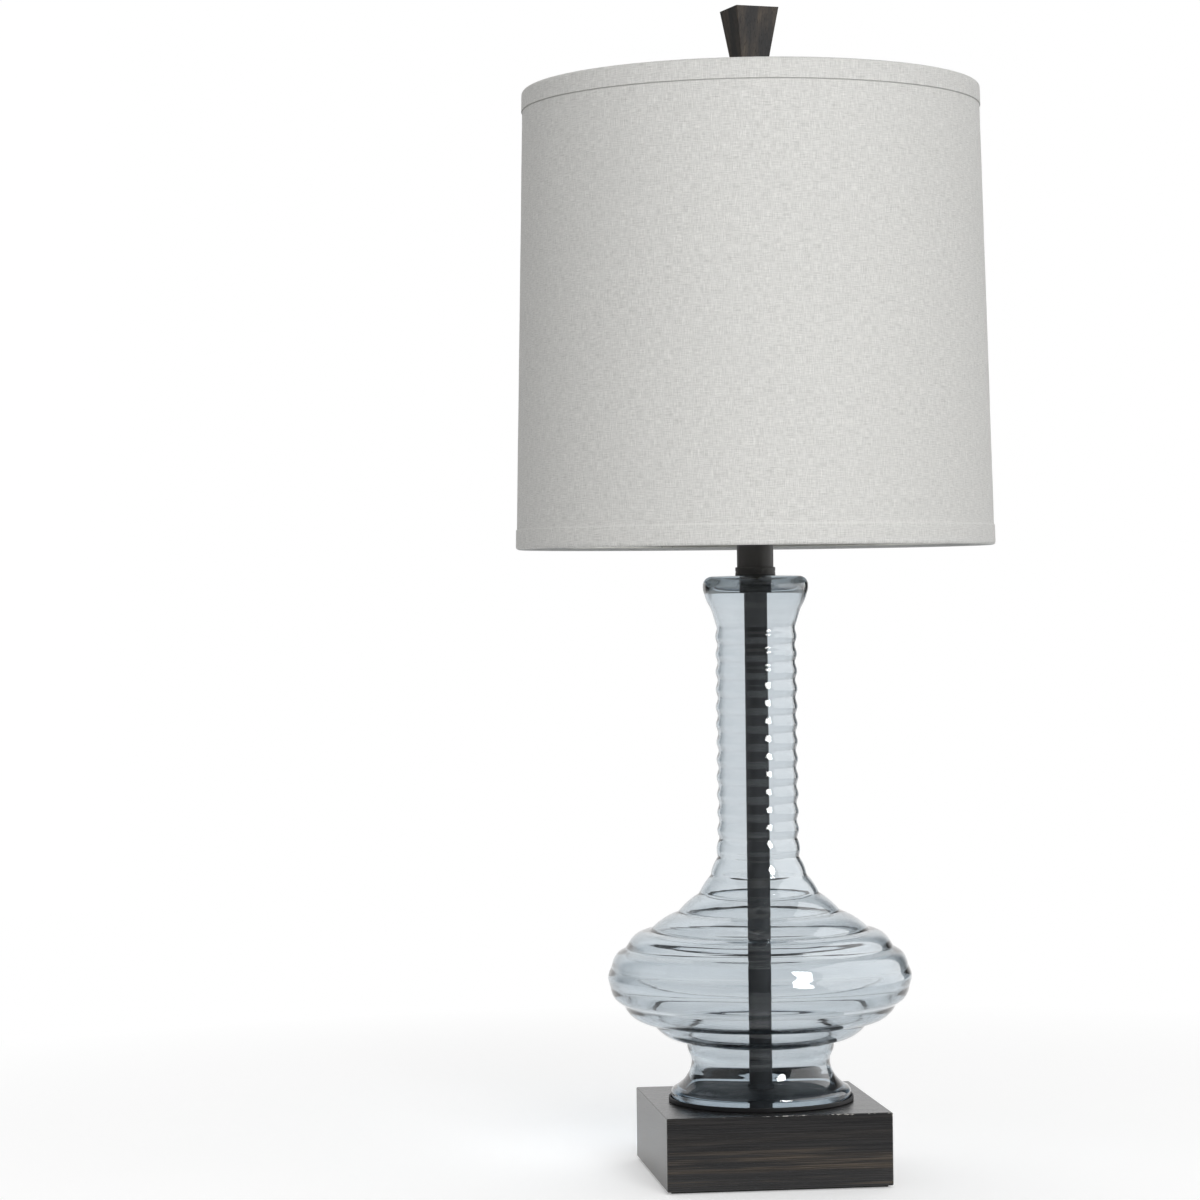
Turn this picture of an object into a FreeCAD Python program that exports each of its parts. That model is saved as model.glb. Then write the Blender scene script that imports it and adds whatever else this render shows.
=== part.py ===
"""Table lamp: a ribbed smoke-glass bottle on a square wood plinth, under a linen drum shade.

Millimetres, +Z up, front towards -Y. The origin is the middle of the felt pad's underside.
Every piece is a separate solid in a file of its own.
"""
import FreeCAD, Part
import math
import os

# ---------------------------------------------------------------- driving dimensions
# Clearances
ASSEMBLY_CLEARANCE = 0.1     # holes that a fixed part slips through, on the radius
RUNNING_CLEARANCE = 0.05     # shafts that turn or slide, on the radius
REST_GAP = 0.05              # between a moving part and the face that it rests on

# Plinth
BASE_SIDE = 155.0
BASE_HEIGHT = 49.6
BASE_EDGE = 0.6
FELT_THICKNESS = 1.6
FELT_MARGIN = 3.0
RECESS_RADIUS = 30.0
RECESS_DEPTH = 24.0

# Cord inlet in the plinth's back
CORD_HOLE_RADIUS = 3.5
BUSHING_RADIUS = 6.0
BUSHING_LENGTH = 14.0
BUSHING_FLANGE_RADIUS = 8.0
BUSHING_FLANGE_THICKNESS = 1.6
BUSHING_LIP = 0.5
CORD_CHANNEL_RADIUS = 4.8
CORD_CHANNEL_HEIGHT = 11.0   # axis above the plinth's wood underside

# Threaded pipe and the hardware that clamps it in the recess
PIPE_RADIUS = 4.8
PIPE_BORE_RADIUS = 3.2
PIPE_TAIL = 4.0              # below the hexagon nut
WASHER_RADIUS = 20.0
WASHER_THICKNESS = 2.0
LOCK_WASHER_RADIUS = 8.2
LOCK_WASHER_THICKNESS = 1.2
NUT_ACROSS_FLATS = 14.3
NUT_THICKNESS = 5.0

# Foot tray
TRAY_RADIUS = 64.4
TRAY_WALL = 1.4
TRAY_FLOOR = 1.2
TRAY_HEIGHT = 3.4
FOOT_GASKET_THICKNESS = 0.6
FOOT_GASKET_WIDTH = 8.0
FOOT_CLEARANCE = 0.4         # glass foot inside the tray's rim

# Glass body
GLASS_WALL = 3.2
FOOT_HEIGHT = 28.1           # from the foot's underside to the narrow waist
FOOT_EDGE_HEIGHT = 4.6       # upright edge of the foot
FOOT_EDGE_ROUND = 1.0
FOOT_SHOULDER_DROP = 1.4
FOOT_FLARE_HOLLOW = 3.6      # how far the flare bends in from a straight cone
BULB_RIB_PITCH = 12.7
NECK_RIB_PITCH = 12.25
NECK_RIB_COUNT = 12
NECK_VALLEY_RADIUS = 27.1
NECK_RIB_DEPTH = 1.4
LIP_RIB_PITCH = 12.2
LIP_HEIGHT = 11.9
LIP_RADIUS = 36.8
LIP_BELLY_HEIGHT = 4.6       # from the last crease to the lip's widest circle
LIP_SHOULDER_RADIUS = 30.5
LIP_SHOULDER_DROP = 0.5
LIP_FLAT_RADIUS = 22.0
LIP_ROUND_RISE = 2.0
MOUTH_RADIUS = 11.4
MOUTH_THICKNESS = 9.0
INNER_SHOULDER_ROUND = 3.0
# Creases between the bulb's ribs, from the waist up to the neck, as the crease's radius
# and how far the rib above it stands out from the straight line to the next crease.
BULB_CREASES = (
    (47.9, 1.3), (51.1, 4.2), (75.4, 4.1), (95.2, 2.8), (104.1, 2.5), (103.1, 3.2),
    (92.9, 3.7), (76.6, 1.6), (56.6, 0.9), (41.8, 0.7), (33.4, 1.0), (28.3, 1.4),
)
# Two ribs of the flare between neck and lip
FLARE_LOWER_RISE = 1.2
FLARE_CREASE_RADIUS = 31.0
FLARE_UPPER_RISE = 1.3
LIP_CREASE_RADIUS = 35.6

# Metal tube up the middle of the glass, and its ends
CENTRE_TUBE_RADIUS = 8.0
CENTRE_TUBE_WALL = 1.0
FOOT_COLLAR_RADIUS = 9.3
FOOT_COLLAR_HEIGHT = 6.4
PLUG_CLEARANCE = 0.2
PLUG_LENGTH = 10.0

# Neck between glass and lamp holder
NECK_TUBE_RADIUS = 12.7
NECK_TUBE_WALL = 1.2
NECK_HEIGHT = 71.6           # flange underside to the top of the neck's cap
LIP_GASKET_THICKNESS = 0.6
FLANGE_RADIUS = 13.95
FLANGE_HEIGHT = 5.2
FLANGE_FLOOR = 1.5
FLANGE_GROOVE_HEIGHT = 1.6
FLANGE_GROOVE_DEPTH = 0.4
FLANGE_GROOVE_WIDTH = 0.6
CAP_DISC_THICKNESS = 2.0
CAP_SPIGOT_LENGTH = 6.0

# Saddle and harp
SADDLE_THICKNESS = 1.2
SADDLE_WIDTH = 12.7
SADDLE_HALF_LENGTH = 31.0
EAR_OFFSET = 25.4            # lamp axis to the ear's inner face
EAR_THICKNESS = 1.2
EAR_WIDTH = 3.6
EAR_HEIGHT = 15.0
SADDLE_NUT_THICKNESS = 3.5
HARP_HEIGHT = 254.0          # saddle seat to shade seat
HARP_WIRE_RADIUS = 1.6
HARP_HALF_WIDTH = 60.0
HARP_LEG_LENGTH = 34.0       # upright run beside the ear
HARP_SPREAD_HEIGHT = 68.0    # rise in which the leg swings out to the full width
HARP_CROWN_HALF = 10.0       # flat run at the crown, from the axis
HARP_CROWN_ROUND = 22.0
HARP_EAR_CLEARANCE = 0.15
FERRULE_RADIUS = 3.8
FERRULE_BORE_RADIUS = 3.15
FERRULE_LENGTH = 14.0
BOSS_RADIUS = 5.0
BOSS_HEIGHT = 13.0
BOSS_BELOW_WIRE = 1.0
STUD_SHANK_RADIUS = 2.0
STUD_SHANK_LENGTH = 7.0
STUD_SHOULDER_RADIUS = 6.2
STUD_SHOULDER_THICKNESS = 1.2
STUD_THREAD_RADIUS = 3.175
STUD_THREAD_LENGTH = 12.0

# Lamp holder
HOLDER_CAP_RADIUS = 17.6
HOLDER_CAP_HUB_RADIUS = 7.2
HOLDER_CAP_HUB_HEIGHT = 7.0
HOLDER_CAP_SHOULDER = 16.5
HOLDER_CAP_HEIGHT = 22.0
HOLDER_CAP_BULGE = 3.0
HOLDER_SHEET = 0.6
HOLDER_SHELL_LENGTH = 42.0
HOLDER_SHELL_BEAD = 0.6
LINER_THICKNESS = 0.6
LINER_PROUD = 1.6
CORE_LENGTH = 18.0
SCREW_SHELL_LENGTH = 22.0
SCREW_SHELL_SHEET = 0.4
CONTACT_SPRING_RADIUS = 3.5
CONTACT_SPRING_HEIGHT = 2.4

# Turn key of the lamp holder
KEY_AXIS_HEIGHT = 11.0       # above the holder core's underside
KEY_SHAFT_RADIUS = 1.6
KEY_SHAFT_DEPTH = 9.0        # into the holder core
KEY_HOLE_RADIUS = 2.6
KEY_HUB_RADIUS = 3.4
KEY_HUB_LENGTH = 5.0
KEY_STANDOFF = 2.5           # hub to holder cap
KEY_PADDLE_LENGTH = 10.0
KEY_PADDLE_WIDTH = 14.0
KEY_PADDLE_THICKNESS = 4.0
KEY_PADDLE_ROUND = 1.4

# Bulb
BULB_LENGTH = 110.0          # contact to crown
BULB_RADIUS = 30.0
BULB_NECK_RADIUS = 13.8
BULB_FLARE_RADIUS = 40.0     # hollow flare between neck and crown
BULB_GLASS_WALL = 0.8
BULB_CAP_RADIUS = 13.1
BULB_CAP_SHEET = 0.4
BULB_CAP_TOP = 26.0          # above the contact
BULB_CAP_BOTTOM = 6.0        # above the contact
BULB_CONTACT_RADIUS = 4.5
BULB_CONTACT_THICKNESS = 2.0
SCREW_CLEARANCE = 0.25       # bulb cap in the screw shell, on the radius

# Shade
SHADE_BOTTOM_RADIUS = 166.8
SHADE_TAPER = 7.6            # radius lost from the bottom rim to the top
SHADE_HEIGHT = 318.5
SPIDER_DROP = 11.7           # spider's underside below the shade's top rim
FABRIC_THICKNESS = 0.6
LINER_SHEET_THICKNESS = 0.4
TRIM_THICKNESS = 0.6
TRIM_BAND = 14.0
TRIM_HEM = 9.0               # height of the fold round the wire, inside
RING_WIRE_RADIUS = 1.5
RING_CLEARANCE = 0.3        # wire ring inside the trim's fold
SEAM_WIDTH = 12.0
SPIDER_HUB_RADIUS = 12.0
SPIDER_HUB_THICKNESS = 2.0
SPIDER_ARM_RADIUS = 1.5
SPIDER_ARM_COUNT = 3
SPIDER_ARM_BEND = 5.0

# Finial
FINIAL_BLOCK_HEIGHT = 55.0
FINIAL_TOP_SIDE = 31.6
FINIAL_BOTTOM_SIDE = 15.0
FINIAL_CROWN = 0.8           # rise of the block's end, which slopes in all round
FINIAL_CROWN_SIDE = 20.0
FINIAL_EDGE = 0.5
FINIAL_TURN = 12.6           # degrees from the plinth's sides
FINIAL_FOOT_HEIGHT = 12.0
FINIAL_FOOT_RADIUS = 7.0
FINIAL_FOOT_NECK_RADIUS = 5.2
FINIAL_FOOT_PLATE = 2.0
FINIAL_SPIGOT_RADIUS = 4.6
FINIAL_SPIGOT_LENGTH = 18.0
FINIAL_SPIGOT_END_GAP = 0.4
FINIAL_THREAD_CLEARANCE = 0.1
FINIAL_BORE_SPARE = 2.0      # bore past the stud's end

# ---------------------------------------------------------------- heights that follow
FELT_TOP = FELT_THICKNESS
BASE_TOP = FELT_TOP + BASE_HEIGHT
RECESS_TOP = FELT_TOP + RECESS_DEPTH
TRAY_FLOOR_TOP = BASE_TOP + TRAY_FLOOR
GLASS_BOTTOM = TRAY_FLOOR_TOP + FOOT_GASKET_THICKNESS
WAIST = GLASS_BOTTOM + FOOT_HEIGHT
NECK_BOTTOM = WAIST + len(BULB_CREASES) * BULB_RIB_PITCH
NECK_TOP = NECK_BOTTOM + NECK_RIB_COUNT * NECK_RIB_PITCH
FLARE_CREASE = NECK_TOP + LIP_RIB_PITCH
LIP_BOTTOM = FLARE_CREASE + LIP_RIB_PITCH
GLASS_TOP = LIP_BOTTOM + LIP_HEIGHT
FLANGE_BOTTOM = GLASS_TOP + LIP_GASKET_THICKNESS
NECK_CAP_TOP = FLANGE_BOTTOM + NECK_HEIGHT
NECK_TUBE_TOP = NECK_CAP_TOP - CAP_DISC_THICKNESS
SADDLE_TOP = NECK_CAP_TOP + SADDLE_THICKNESS
HOLDER_BOTTOM = SADDLE_TOP + SADDLE_NUT_THICKNESS
PIPE_TOP = HOLDER_BOTTOM + HOLDER_CAP_HUB_HEIGHT
HOLDER_SHELL_BOTTOM = HOLDER_BOTTOM + HOLDER_CAP_SHOULDER
HOLDER_SHELL_TOP = HOLDER_SHELL_BOTTOM + HOLDER_SHELL_LENGTH
CORE_TOP = HOLDER_SHELL_BOTTOM + CORE_LENGTH
KEY_AXIS = HOLDER_SHELL_BOTTOM + KEY_AXIS_HEIGHT
CONTACT_TOP = CORE_TOP + SCREW_SHELL_SHEET + CONTACT_SPRING_HEIGHT
BULB_BOTTOM = CONTACT_TOP + REST_GAP
SHADE_SEAT = NECK_CAP_TOP + HARP_HEIGHT
SHADE_TOP = SHADE_SEAT + SPIDER_DROP
SHADE_BOTTOM = SHADE_TOP - SHADE_HEIGHT
HUB_TOP = SHADE_SEAT + SPIDER_HUB_THICKNESS
BOSS_TOP = SHADE_SEAT - STUD_SHOULDER_THICKNESS - REST_GAP
BOSS_BOTTOM = BOSS_TOP - BOSS_HEIGHT
HARP_CROWN = BOSS_BOTTOM + BOSS_BELOW_WIRE + HARP_WIRE_RADIUS
FINIAL_BOTTOM = HUB_TOP + REST_GAP
FINIAL_BLOCK_BOTTOM = HUB_TOP + FINIAL_FOOT_HEIGHT
FINIAL_TOP = FINIAL_BLOCK_BOTTOM + FINIAL_BLOCK_HEIGHT

# ---------------------------------------------------------------- radii that follow
GLASS_FOOT_RADIUS = TRAY_RADIUS - TRAY_WALL - FOOT_CLEARANCE
PLUG_RADIUS = MOUTH_RADIUS - PLUG_CLEARANCE
PIPE_HOLE_RADIUS = PIPE_RADIUS + ASSEMBLY_CLEARANCE
HARP_LEG_X = EAR_OFFSET + EAR_THICKNESS + HARP_EAR_CLEARANCE + HARP_WIRE_RADIUS
FERRULE_X = (EAR_OFFSET + HARP_LEG_X + HARP_WIRE_RADIUS) / 2
HOLDER_SHELL_RADIUS = HOLDER_CAP_RADIUS - HOLDER_SHEET
LINER_RADIUS = HOLDER_SHELL_RADIUS - HOLDER_SHEET
CORE_RADIUS = LINER_RADIUS - LINER_THICKNESS
SCREW_SHELL_BORE = BULB_CAP_RADIUS + SCREW_CLEARANCE
LINER_INSET = TRIM_THICKNESS + FABRIC_THICKNESS
WALL_DEPTH = LINER_INSET + LINER_SHEET_THICKNESS
RING_INSET = WALL_DEPTH + RING_CLEARANCE + RING_WIRE_RADIUS
TRIM_FOLD_RADIUS = (RING_INSET + RING_WIRE_RADIUS + RING_CLEARANCE + TRIM_THICKNESS) / 2

AXIS = FreeCAD.Vector(0, 0, 1)
ORIGIN = FreeCAD.Vector(0, 0, 0)
FULL_TURN = 360.0
HALF_RIGHT = math.pi / 4
TOUCHING = 1e-6              # lengths under this count as nothing


# ---------------------------------------------------------------- helpers
class Outline:
    """Half section in the XZ plane, drawn from point to point, then turned round the Z axis."""

    def __init__(self, radius, height):
        self.start = FreeCAD.Vector(radius, 0, height)
        self.here = self.start
        self.edges = []

    def line(self, radius, height):
        there = FreeCAD.Vector(radius, 0, height)
        if there.distanceToPoint(self.here) > TOUCHING:
            self.edges.append(Part.LineSegment(self.here, there).toShape())
            self.here = there
        return self

    def arc(self, middle, end):
        through = FreeCAD.Vector(middle[0], 0, middle[1])
        there = FreeCAD.Vector(end[0], 0, end[1])
        self.edges.append(Part.Arc(self.here, through, there).toShape())
        self.here = there
        return self

    def bulge(self, radius, height, rise):
        """Arc to a point; its middle stands off the straight line by rise, to the right."""
        there = FreeCAD.Vector(radius, 0, height)
        along = there.sub(self.here)
        right = FreeCAD.Vector(along.z, 0, -along.x).normalize()
        middle = (self.here + there) * 0.5 + right * rise
        return self.arc((middle.x, middle.z), (radius, height))

    def curve(self, points):
        """Smooth curve from here through the points."""
        vectors = [self.here] + [FreeCAD.Vector(r, 0, z) for r, z in points]
        spline = Part.BSplineCurve()
        spline.interpolate(vectors)
        self.edges.append(spline.toShape())
        self.here = vectors[-1]
        return self

    def turned(self):
        self.line(self.start.x, self.start.z)
        face = Part.Face(Part.Wire(self.edges))
        return face.revolve(ORIGIN, AXIS, FULL_TURN)


def disc(radius, bottom, top, x=0.0, y=0.0):
    return Part.makeCylinder(radius, top - bottom, FreeCAD.Vector(x, y, bottom))


def ring(outer, inner, bottom, top, x=0.0, y=0.0):
    return disc(outer, bottom, top, x, y).cut(disc(inner, bottom, top, x, y))


def block(width, depth, bottom, top, x=0.0, y=0.0):
    corner = FreeCAD.Vector(x - width / 2, y - depth / 2, bottom)
    return Part.makeBox(width, depth, top - bottom, corner)


def rod_y(radius, start, end, height):
    """Round bar along Y, in the lamp's middle plane."""
    return Part.makeCylinder(radius, end - start, FreeCAD.Vector(0, start, height),
                             FreeCAD.Vector(0, 1, 0))


def hexagon(across_flats, bottom, top, hole):
    corner_radius = across_flats / math.sqrt(3)
    turns = [math.radians(60 * k) for k in range(7)]
    corners = [FreeCAD.Vector(corner_radius * math.cos(a), corner_radius * math.sin(a), bottom)
               for a in turns]
    prism = Part.Face(Part.makePolygon(corners)).extrude(FreeCAD.Vector(0, 0, top - bottom))
    return prism.cut(disc(hole, bottom, top))


def wire_along(edges, radius):
    """Round wire that follows a chain of edges."""
    path = Part.Wire(edges)
    start = edges[0].valueAt(edges[0].FirstParameter)
    heading = edges[0].tangentAt(edges[0].FirstParameter)
    section = Part.Wire([Part.makeCircle(radius, start, heading)])
    return path.makePipeShell([section], True, False)


def four_sided(bottom_side, top_side, bottom, top):
    """Square frustum with flat faces."""
    def corners(side, height):
        half = side / 2
        return [FreeCAD.Vector(x, y, height)
                for x, y in ((-half, -half), (half, -half), (half, half), (-half, half))]

    low = corners(bottom_side, bottom)
    high = corners(top_side, top)
    loops = [low[::-1], high]
    for k in range(4):
        following = (k + 1) % 4
        loops.append([low[k], low[following], high[following], high[k]])
    faces = [Part.Face(Part.makePolygon(loop + loop[:1])) for loop in loops]
    return Part.makeSolid(Part.makeShell(faces))


# ---------------------------------------------------------------- plinth and its hardware
def felt_pad():
    side = BASE_SIDE - 2 * FELT_MARGIN
    return block(side, side, 0, FELT_TOP)


def bushing_front():
    return BASE_SIDE / 2 - BUSHING_LENGTH


def cord_axis_height():
    return FELT_TOP + CORD_CHANNEL_HEIGHT


def wood_base():
    base = block(BASE_SIDE, BASE_SIDE, FELT_TOP, BASE_TOP)
    base = base.makeChamfer(BASE_EDGE, base.Edges)
    base = base.cut(disc(RECESS_RADIUS, FELT_TOP, RECESS_TOP))
    base = base.cut(disc(PIPE_HOLE_RADIUS, RECESS_TOP, BASE_TOP))
    height = cord_axis_height()
    back = BASE_SIDE / 2
    base = base.cut(rod_y(CORD_CHANNEL_RADIUS, 0, back, height))
    base = base.cut(rod_y(BUSHING_RADIUS, bushing_front(), back, height))
    seat = back - BUSHING_FLANGE_THICKNESS
    return base.cut(rod_y(BUSHING_FLANGE_RADIUS, seat, back, height))


def cord_bushing():
    height = cord_axis_height()
    back = BASE_SIDE / 2
    seat = back - BUSHING_FLANGE_THICKNESS
    barrel = rod_y(BUSHING_RADIUS, bushing_front(), back, height)
    flange = rod_y(BUSHING_FLANGE_RADIUS, seat, back, height)
    bushing = barrel.fuse(flange).removeSplitter()
    rim = [edge for edge in bushing.Edges if edge.BoundBox.YMin > back - TOUCHING]
    bushing = bushing.makeChamfer(BUSHING_LIP, rim)
    return bushing.cut(rod_y(CORD_HOLE_RADIUS, bushing_front(), back, height))


def lamp_pipe():
    return ring(PIPE_RADIUS, PIPE_BORE_RADIUS, nut_bottom() - PIPE_TAIL, PIPE_TOP)


def washer_bottom():
    return RECESS_TOP - WASHER_THICKNESS


def lock_washer_bottom():
    return washer_bottom() - LOCK_WASHER_THICKNESS


def nut_bottom():
    return lock_washer_bottom() - NUT_THICKNESS


def recess_washer():
    return ring(WASHER_RADIUS, PIPE_HOLE_RADIUS, washer_bottom(), RECESS_TOP)


def lock_washer():
    return ring(LOCK_WASHER_RADIUS, PIPE_HOLE_RADIUS, lock_washer_bottom(), washer_bottom())


def hex_nut():
    return hexagon(NUT_ACROSS_FLATS, nut_bottom(), lock_washer_bottom(), PIPE_RADIUS)


def foot_tray():
    rim_inner = TRAY_RADIUS - TRAY_WALL
    rim_top = BASE_TOP + TRAY_HEIGHT
    half_wall = TRAY_WALL / 2
    tray = Outline(PIPE_HOLE_RADIUS, BASE_TOP)
    tray.line(TRAY_RADIUS - half_wall, BASE_TOP)
    tray.bulge(TRAY_RADIUS, BASE_TOP + half_wall, half_wall * (1 - math.cos(HALF_RIGHT)))
    tray.line(TRAY_RADIUS, rim_top - half_wall)
    tray.arc((TRAY_RADIUS - half_wall, rim_top), (rim_inner, rim_top - half_wall))
    tray.line(rim_inner, TRAY_FLOOR_TOP)
    tray.line(PIPE_HOLE_RADIUS, TRAY_FLOOR_TOP)
    return tray.turned()


# ---------------------------------------------------------------- glass body and what it holds
def foot_gasket():
    return ring(GLASS_FOOT_RADIUS, GLASS_FOOT_RADIUS - FOOT_GASKET_WIDTH,
                TRAY_FLOOR_TOP, GLASS_BOTTOM)


def crease_points():
    """Creases between the bulb's ribs, from the waist to the neck."""
    radii = [radius for radius, rise in BULB_CREASES] + [NECK_VALLEY_RADIUS]
    return [(radius, WAIST + k * BULB_RIB_PITCH) for k, radius in enumerate(radii)]


def inner_curve():
    """Inside of the bulb: the creases moved in by the wall, square to the run of the ribs."""
    creases = crease_points()
    moved = []
    for k, (radius, height) in enumerate(creases):
        before = creases[max(k - 1, 0)]
        after = creases[min(k + 1, len(creases) - 1)]
        along = FreeCAD.Vector(after[0] - before[0], after[1] - before[1], 0).normalize()
        moved.append((radius - GLASS_WALL * along.y, height + GLASS_WALL * along.x))
    return moved


def draw_neck_waves(glass):
    """Smooth waves up the neck: a crest between each two valleys, as equal arcs."""
    quarter = NECK_RIB_PITCH / 4
    middle = NECK_VALLEY_RADIUS + NECK_RIB_DEPTH / 2
    crest = NECK_VALLEY_RADIUS + NECK_RIB_DEPTH
    for k in range(NECK_RIB_COUNT):
        valley = NECK_BOTTOM + k * NECK_RIB_PITCH
        if k > 0:
            glass.arc((NECK_VALLEY_RADIUS, valley), (middle, valley + quarter))
        else:
            glass.line(middle, valley + quarter)
        glass.arc((crest, valley + 2 * quarter), (middle, valley + 3 * quarter))
    glass.line(NECK_VALLEY_RADIUS, NECK_TOP)


def draw_outside(glass):
    edge_top = GLASS_BOTTOM + FOOT_EDGE_HEIGHT
    flare_end = GLASS_FOOT_RADIUS - FOOT_SHOULDER_DROP
    flare_top = edge_top + 2 * FOOT_SHOULDER_DROP
    glass.line(GLASS_FOOT_RADIUS - FOOT_EDGE_ROUND, GLASS_BOTTOM)
    glass.line(GLASS_FOOT_RADIUS, GLASS_BOTTOM + FOOT_EDGE_ROUND)
    glass.line(GLASS_FOOT_RADIUS, edge_top)
    glass.bulge(flare_end, flare_top, FOOT_EDGE_ROUND / 4)
    glass.bulge(BULB_CREASES[0][0], WAIST, -FOOT_FLARE_HOLLOW)
    creases = crease_points()
    for k, (radius, rise) in enumerate(BULB_CREASES):
        glass.bulge(creases[k + 1][0], creases[k + 1][1], rise)
    draw_neck_waves(glass)
    glass.bulge(FLARE_CREASE_RADIUS, FLARE_CREASE, FLARE_LOWER_RISE)
    glass.bulge(LIP_CREASE_RADIUS, LIP_BOTTOM, FLARE_UPPER_RISE)
    belly = LIP_BOTTOM + LIP_BELLY_HEIGHT
    shoulder = GLASS_TOP - LIP_SHOULDER_DROP
    glass.bulge(LIP_RADIUS, belly, FOOT_EDGE_ROUND / 4)
    glass.bulge(LIP_SHOULDER_RADIUS, shoulder, LIP_ROUND_RISE)
    glass.line(LIP_FLAT_RADIUS, GLASS_TOP)
    glass.line(MOUTH_RADIUS, GLASS_TOP)


def draw_inside(glass):
    roof = GLASS_TOP - MOUTH_THICKNESS
    neck_inner = NECK_VALLEY_RADIUS - GLASS_WALL
    lip_inner = LIP_CREASE_RADIUS - GLASS_WALL
    glass.line(MOUTH_RADIUS, roof)
    glass.line(lip_inner - INNER_SHOULDER_ROUND, roof)
    corner = INNER_SHOULDER_ROUND * (1 - math.cos(HALF_RIGHT))
    glass.bulge(lip_inner, roof - INNER_SHOULDER_ROUND, -corner)
    glass.curve([(FLARE_CREASE_RADIUS - GLASS_WALL, FLARE_CREASE), (neck_inner, NECK_TOP)])
    glass.line(neck_inner, NECK_BOTTOM)
    inside = inner_curve()
    glass.curve([point for point in reversed(inside[:-1])])
    inner_foot = GLASS_FOOT_RADIUS - GLASS_WALL
    glass.bulge(inner_foot, GLASS_BOTTOM + FOOT_EDGE_HEIGHT, FOOT_FLARE_HOLLOW)
    glass.line(inner_foot, GLASS_BOTTOM)


def glass_body():
    glass = Outline(GLASS_FOOT_RADIUS - GLASS_WALL, GLASS_BOTTOM)
    draw_outside(glass)
    draw_inside(glass)
    return glass.turned()


def centre_tube():
    return ring(CENTRE_TUBE_RADIUS, CENTRE_TUBE_RADIUS - CENTRE_TUBE_WALL,
                TRAY_FLOOR_TOP, GLASS_TOP - PLUG_LENGTH)


def tube_foot_collar():
    return ring(FOOT_COLLAR_RADIUS, CENTRE_TUBE_RADIUS,
                TRAY_FLOOR_TOP, TRAY_FLOOR_TOP + FOOT_COLLAR_HEIGHT)


def mouth_plug():
    return ring(PLUG_RADIUS, PIPE_HOLE_RADIUS, GLASS_TOP - PLUG_LENGTH, GLASS_TOP)


def lip_gasket():
    return ring(FLANGE_RADIUS, PIPE_HOLE_RADIUS, GLASS_TOP, FLANGE_BOTTOM)


# ---------------------------------------------------------------- neck
def neck_flange():
    top = FLANGE_BOTTOM + FLANGE_HEIGHT
    groove_bottom = FLANGE_BOTTOM + FLANGE_GROOVE_HEIGHT
    groove_top = groove_bottom + FLANGE_GROOVE_WIDTH
    groove_radius = FLANGE_RADIUS - FLANGE_GROOVE_DEPTH
    flange = Outline(PIPE_HOLE_RADIUS, FLANGE_BOTTOM)
    flange.line(FLANGE_RADIUS, FLANGE_BOTTOM)
    flange.line(FLANGE_RADIUS, groove_bottom)
    flange.line(groove_radius, groove_bottom)
    flange.line(groove_radius, groove_top)
    flange.line(FLANGE_RADIUS, groove_top)
    flange.line(FLANGE_RADIUS, top - FLANGE_GROOVE_DEPTH)
    flange.line(groove_radius, top)
    flange.line(NECK_TUBE_RADIUS, top)
    flange.line(NECK_TUBE_RADIUS, FLANGE_BOTTOM + FLANGE_FLOOR)
    flange.line(PIPE_HOLE_RADIUS, FLANGE_BOTTOM + FLANGE_FLOOR)
    return flange.turned()


def neck_tube():
    return ring(NECK_TUBE_RADIUS, NECK_TUBE_RADIUS - NECK_TUBE_WALL,
                FLANGE_BOTTOM + FLANGE_FLOOR, NECK_TUBE_TOP)


def neck_cap():
    spigot = disc(NECK_TUBE_RADIUS - NECK_TUBE_WALL, NECK_TUBE_TOP - CAP_SPIGOT_LENGTH,
                  NECK_TUBE_TOP)
    cap = spigot.fuse(disc(NECK_TUBE_RADIUS, NECK_TUBE_TOP, NECK_CAP_TOP))
    hole = disc(PIPE_HOLE_RADIUS, NECK_TUBE_TOP - CAP_SPIGOT_LENGTH, NECK_CAP_TOP)
    return cap.cut(hole).removeSplitter()


# ---------------------------------------------------------------- saddle and harp
def harp_saddle():
    strap = block(2 * SADDLE_HALF_LENGTH, SADDLE_WIDTH, NECK_CAP_TOP, SADDLE_TOP)
    strap = strap.cut(disc(PIPE_HOLE_RADIUS, NECK_CAP_TOP, SADDLE_TOP))
    ear = block(EAR_THICKNESS, EAR_WIDTH, SADDLE_TOP, SADDLE_TOP + EAR_HEIGHT,
                EAR_OFFSET + EAR_THICKNESS / 2)
    other_ear = ear.mirror(ORIGIN, FreeCAD.Vector(1, 0, 0))
    return strap.fuse([ear, other_ear]).removeSplitter()


def saddle_nut():
    return hexagon(NUT_ACROSS_FLATS, SADDLE_TOP, HOLDER_BOTTOM, PIPE_RADIUS)


def leg_bottom():
    return SADDLE_TOP + REST_GAP


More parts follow.
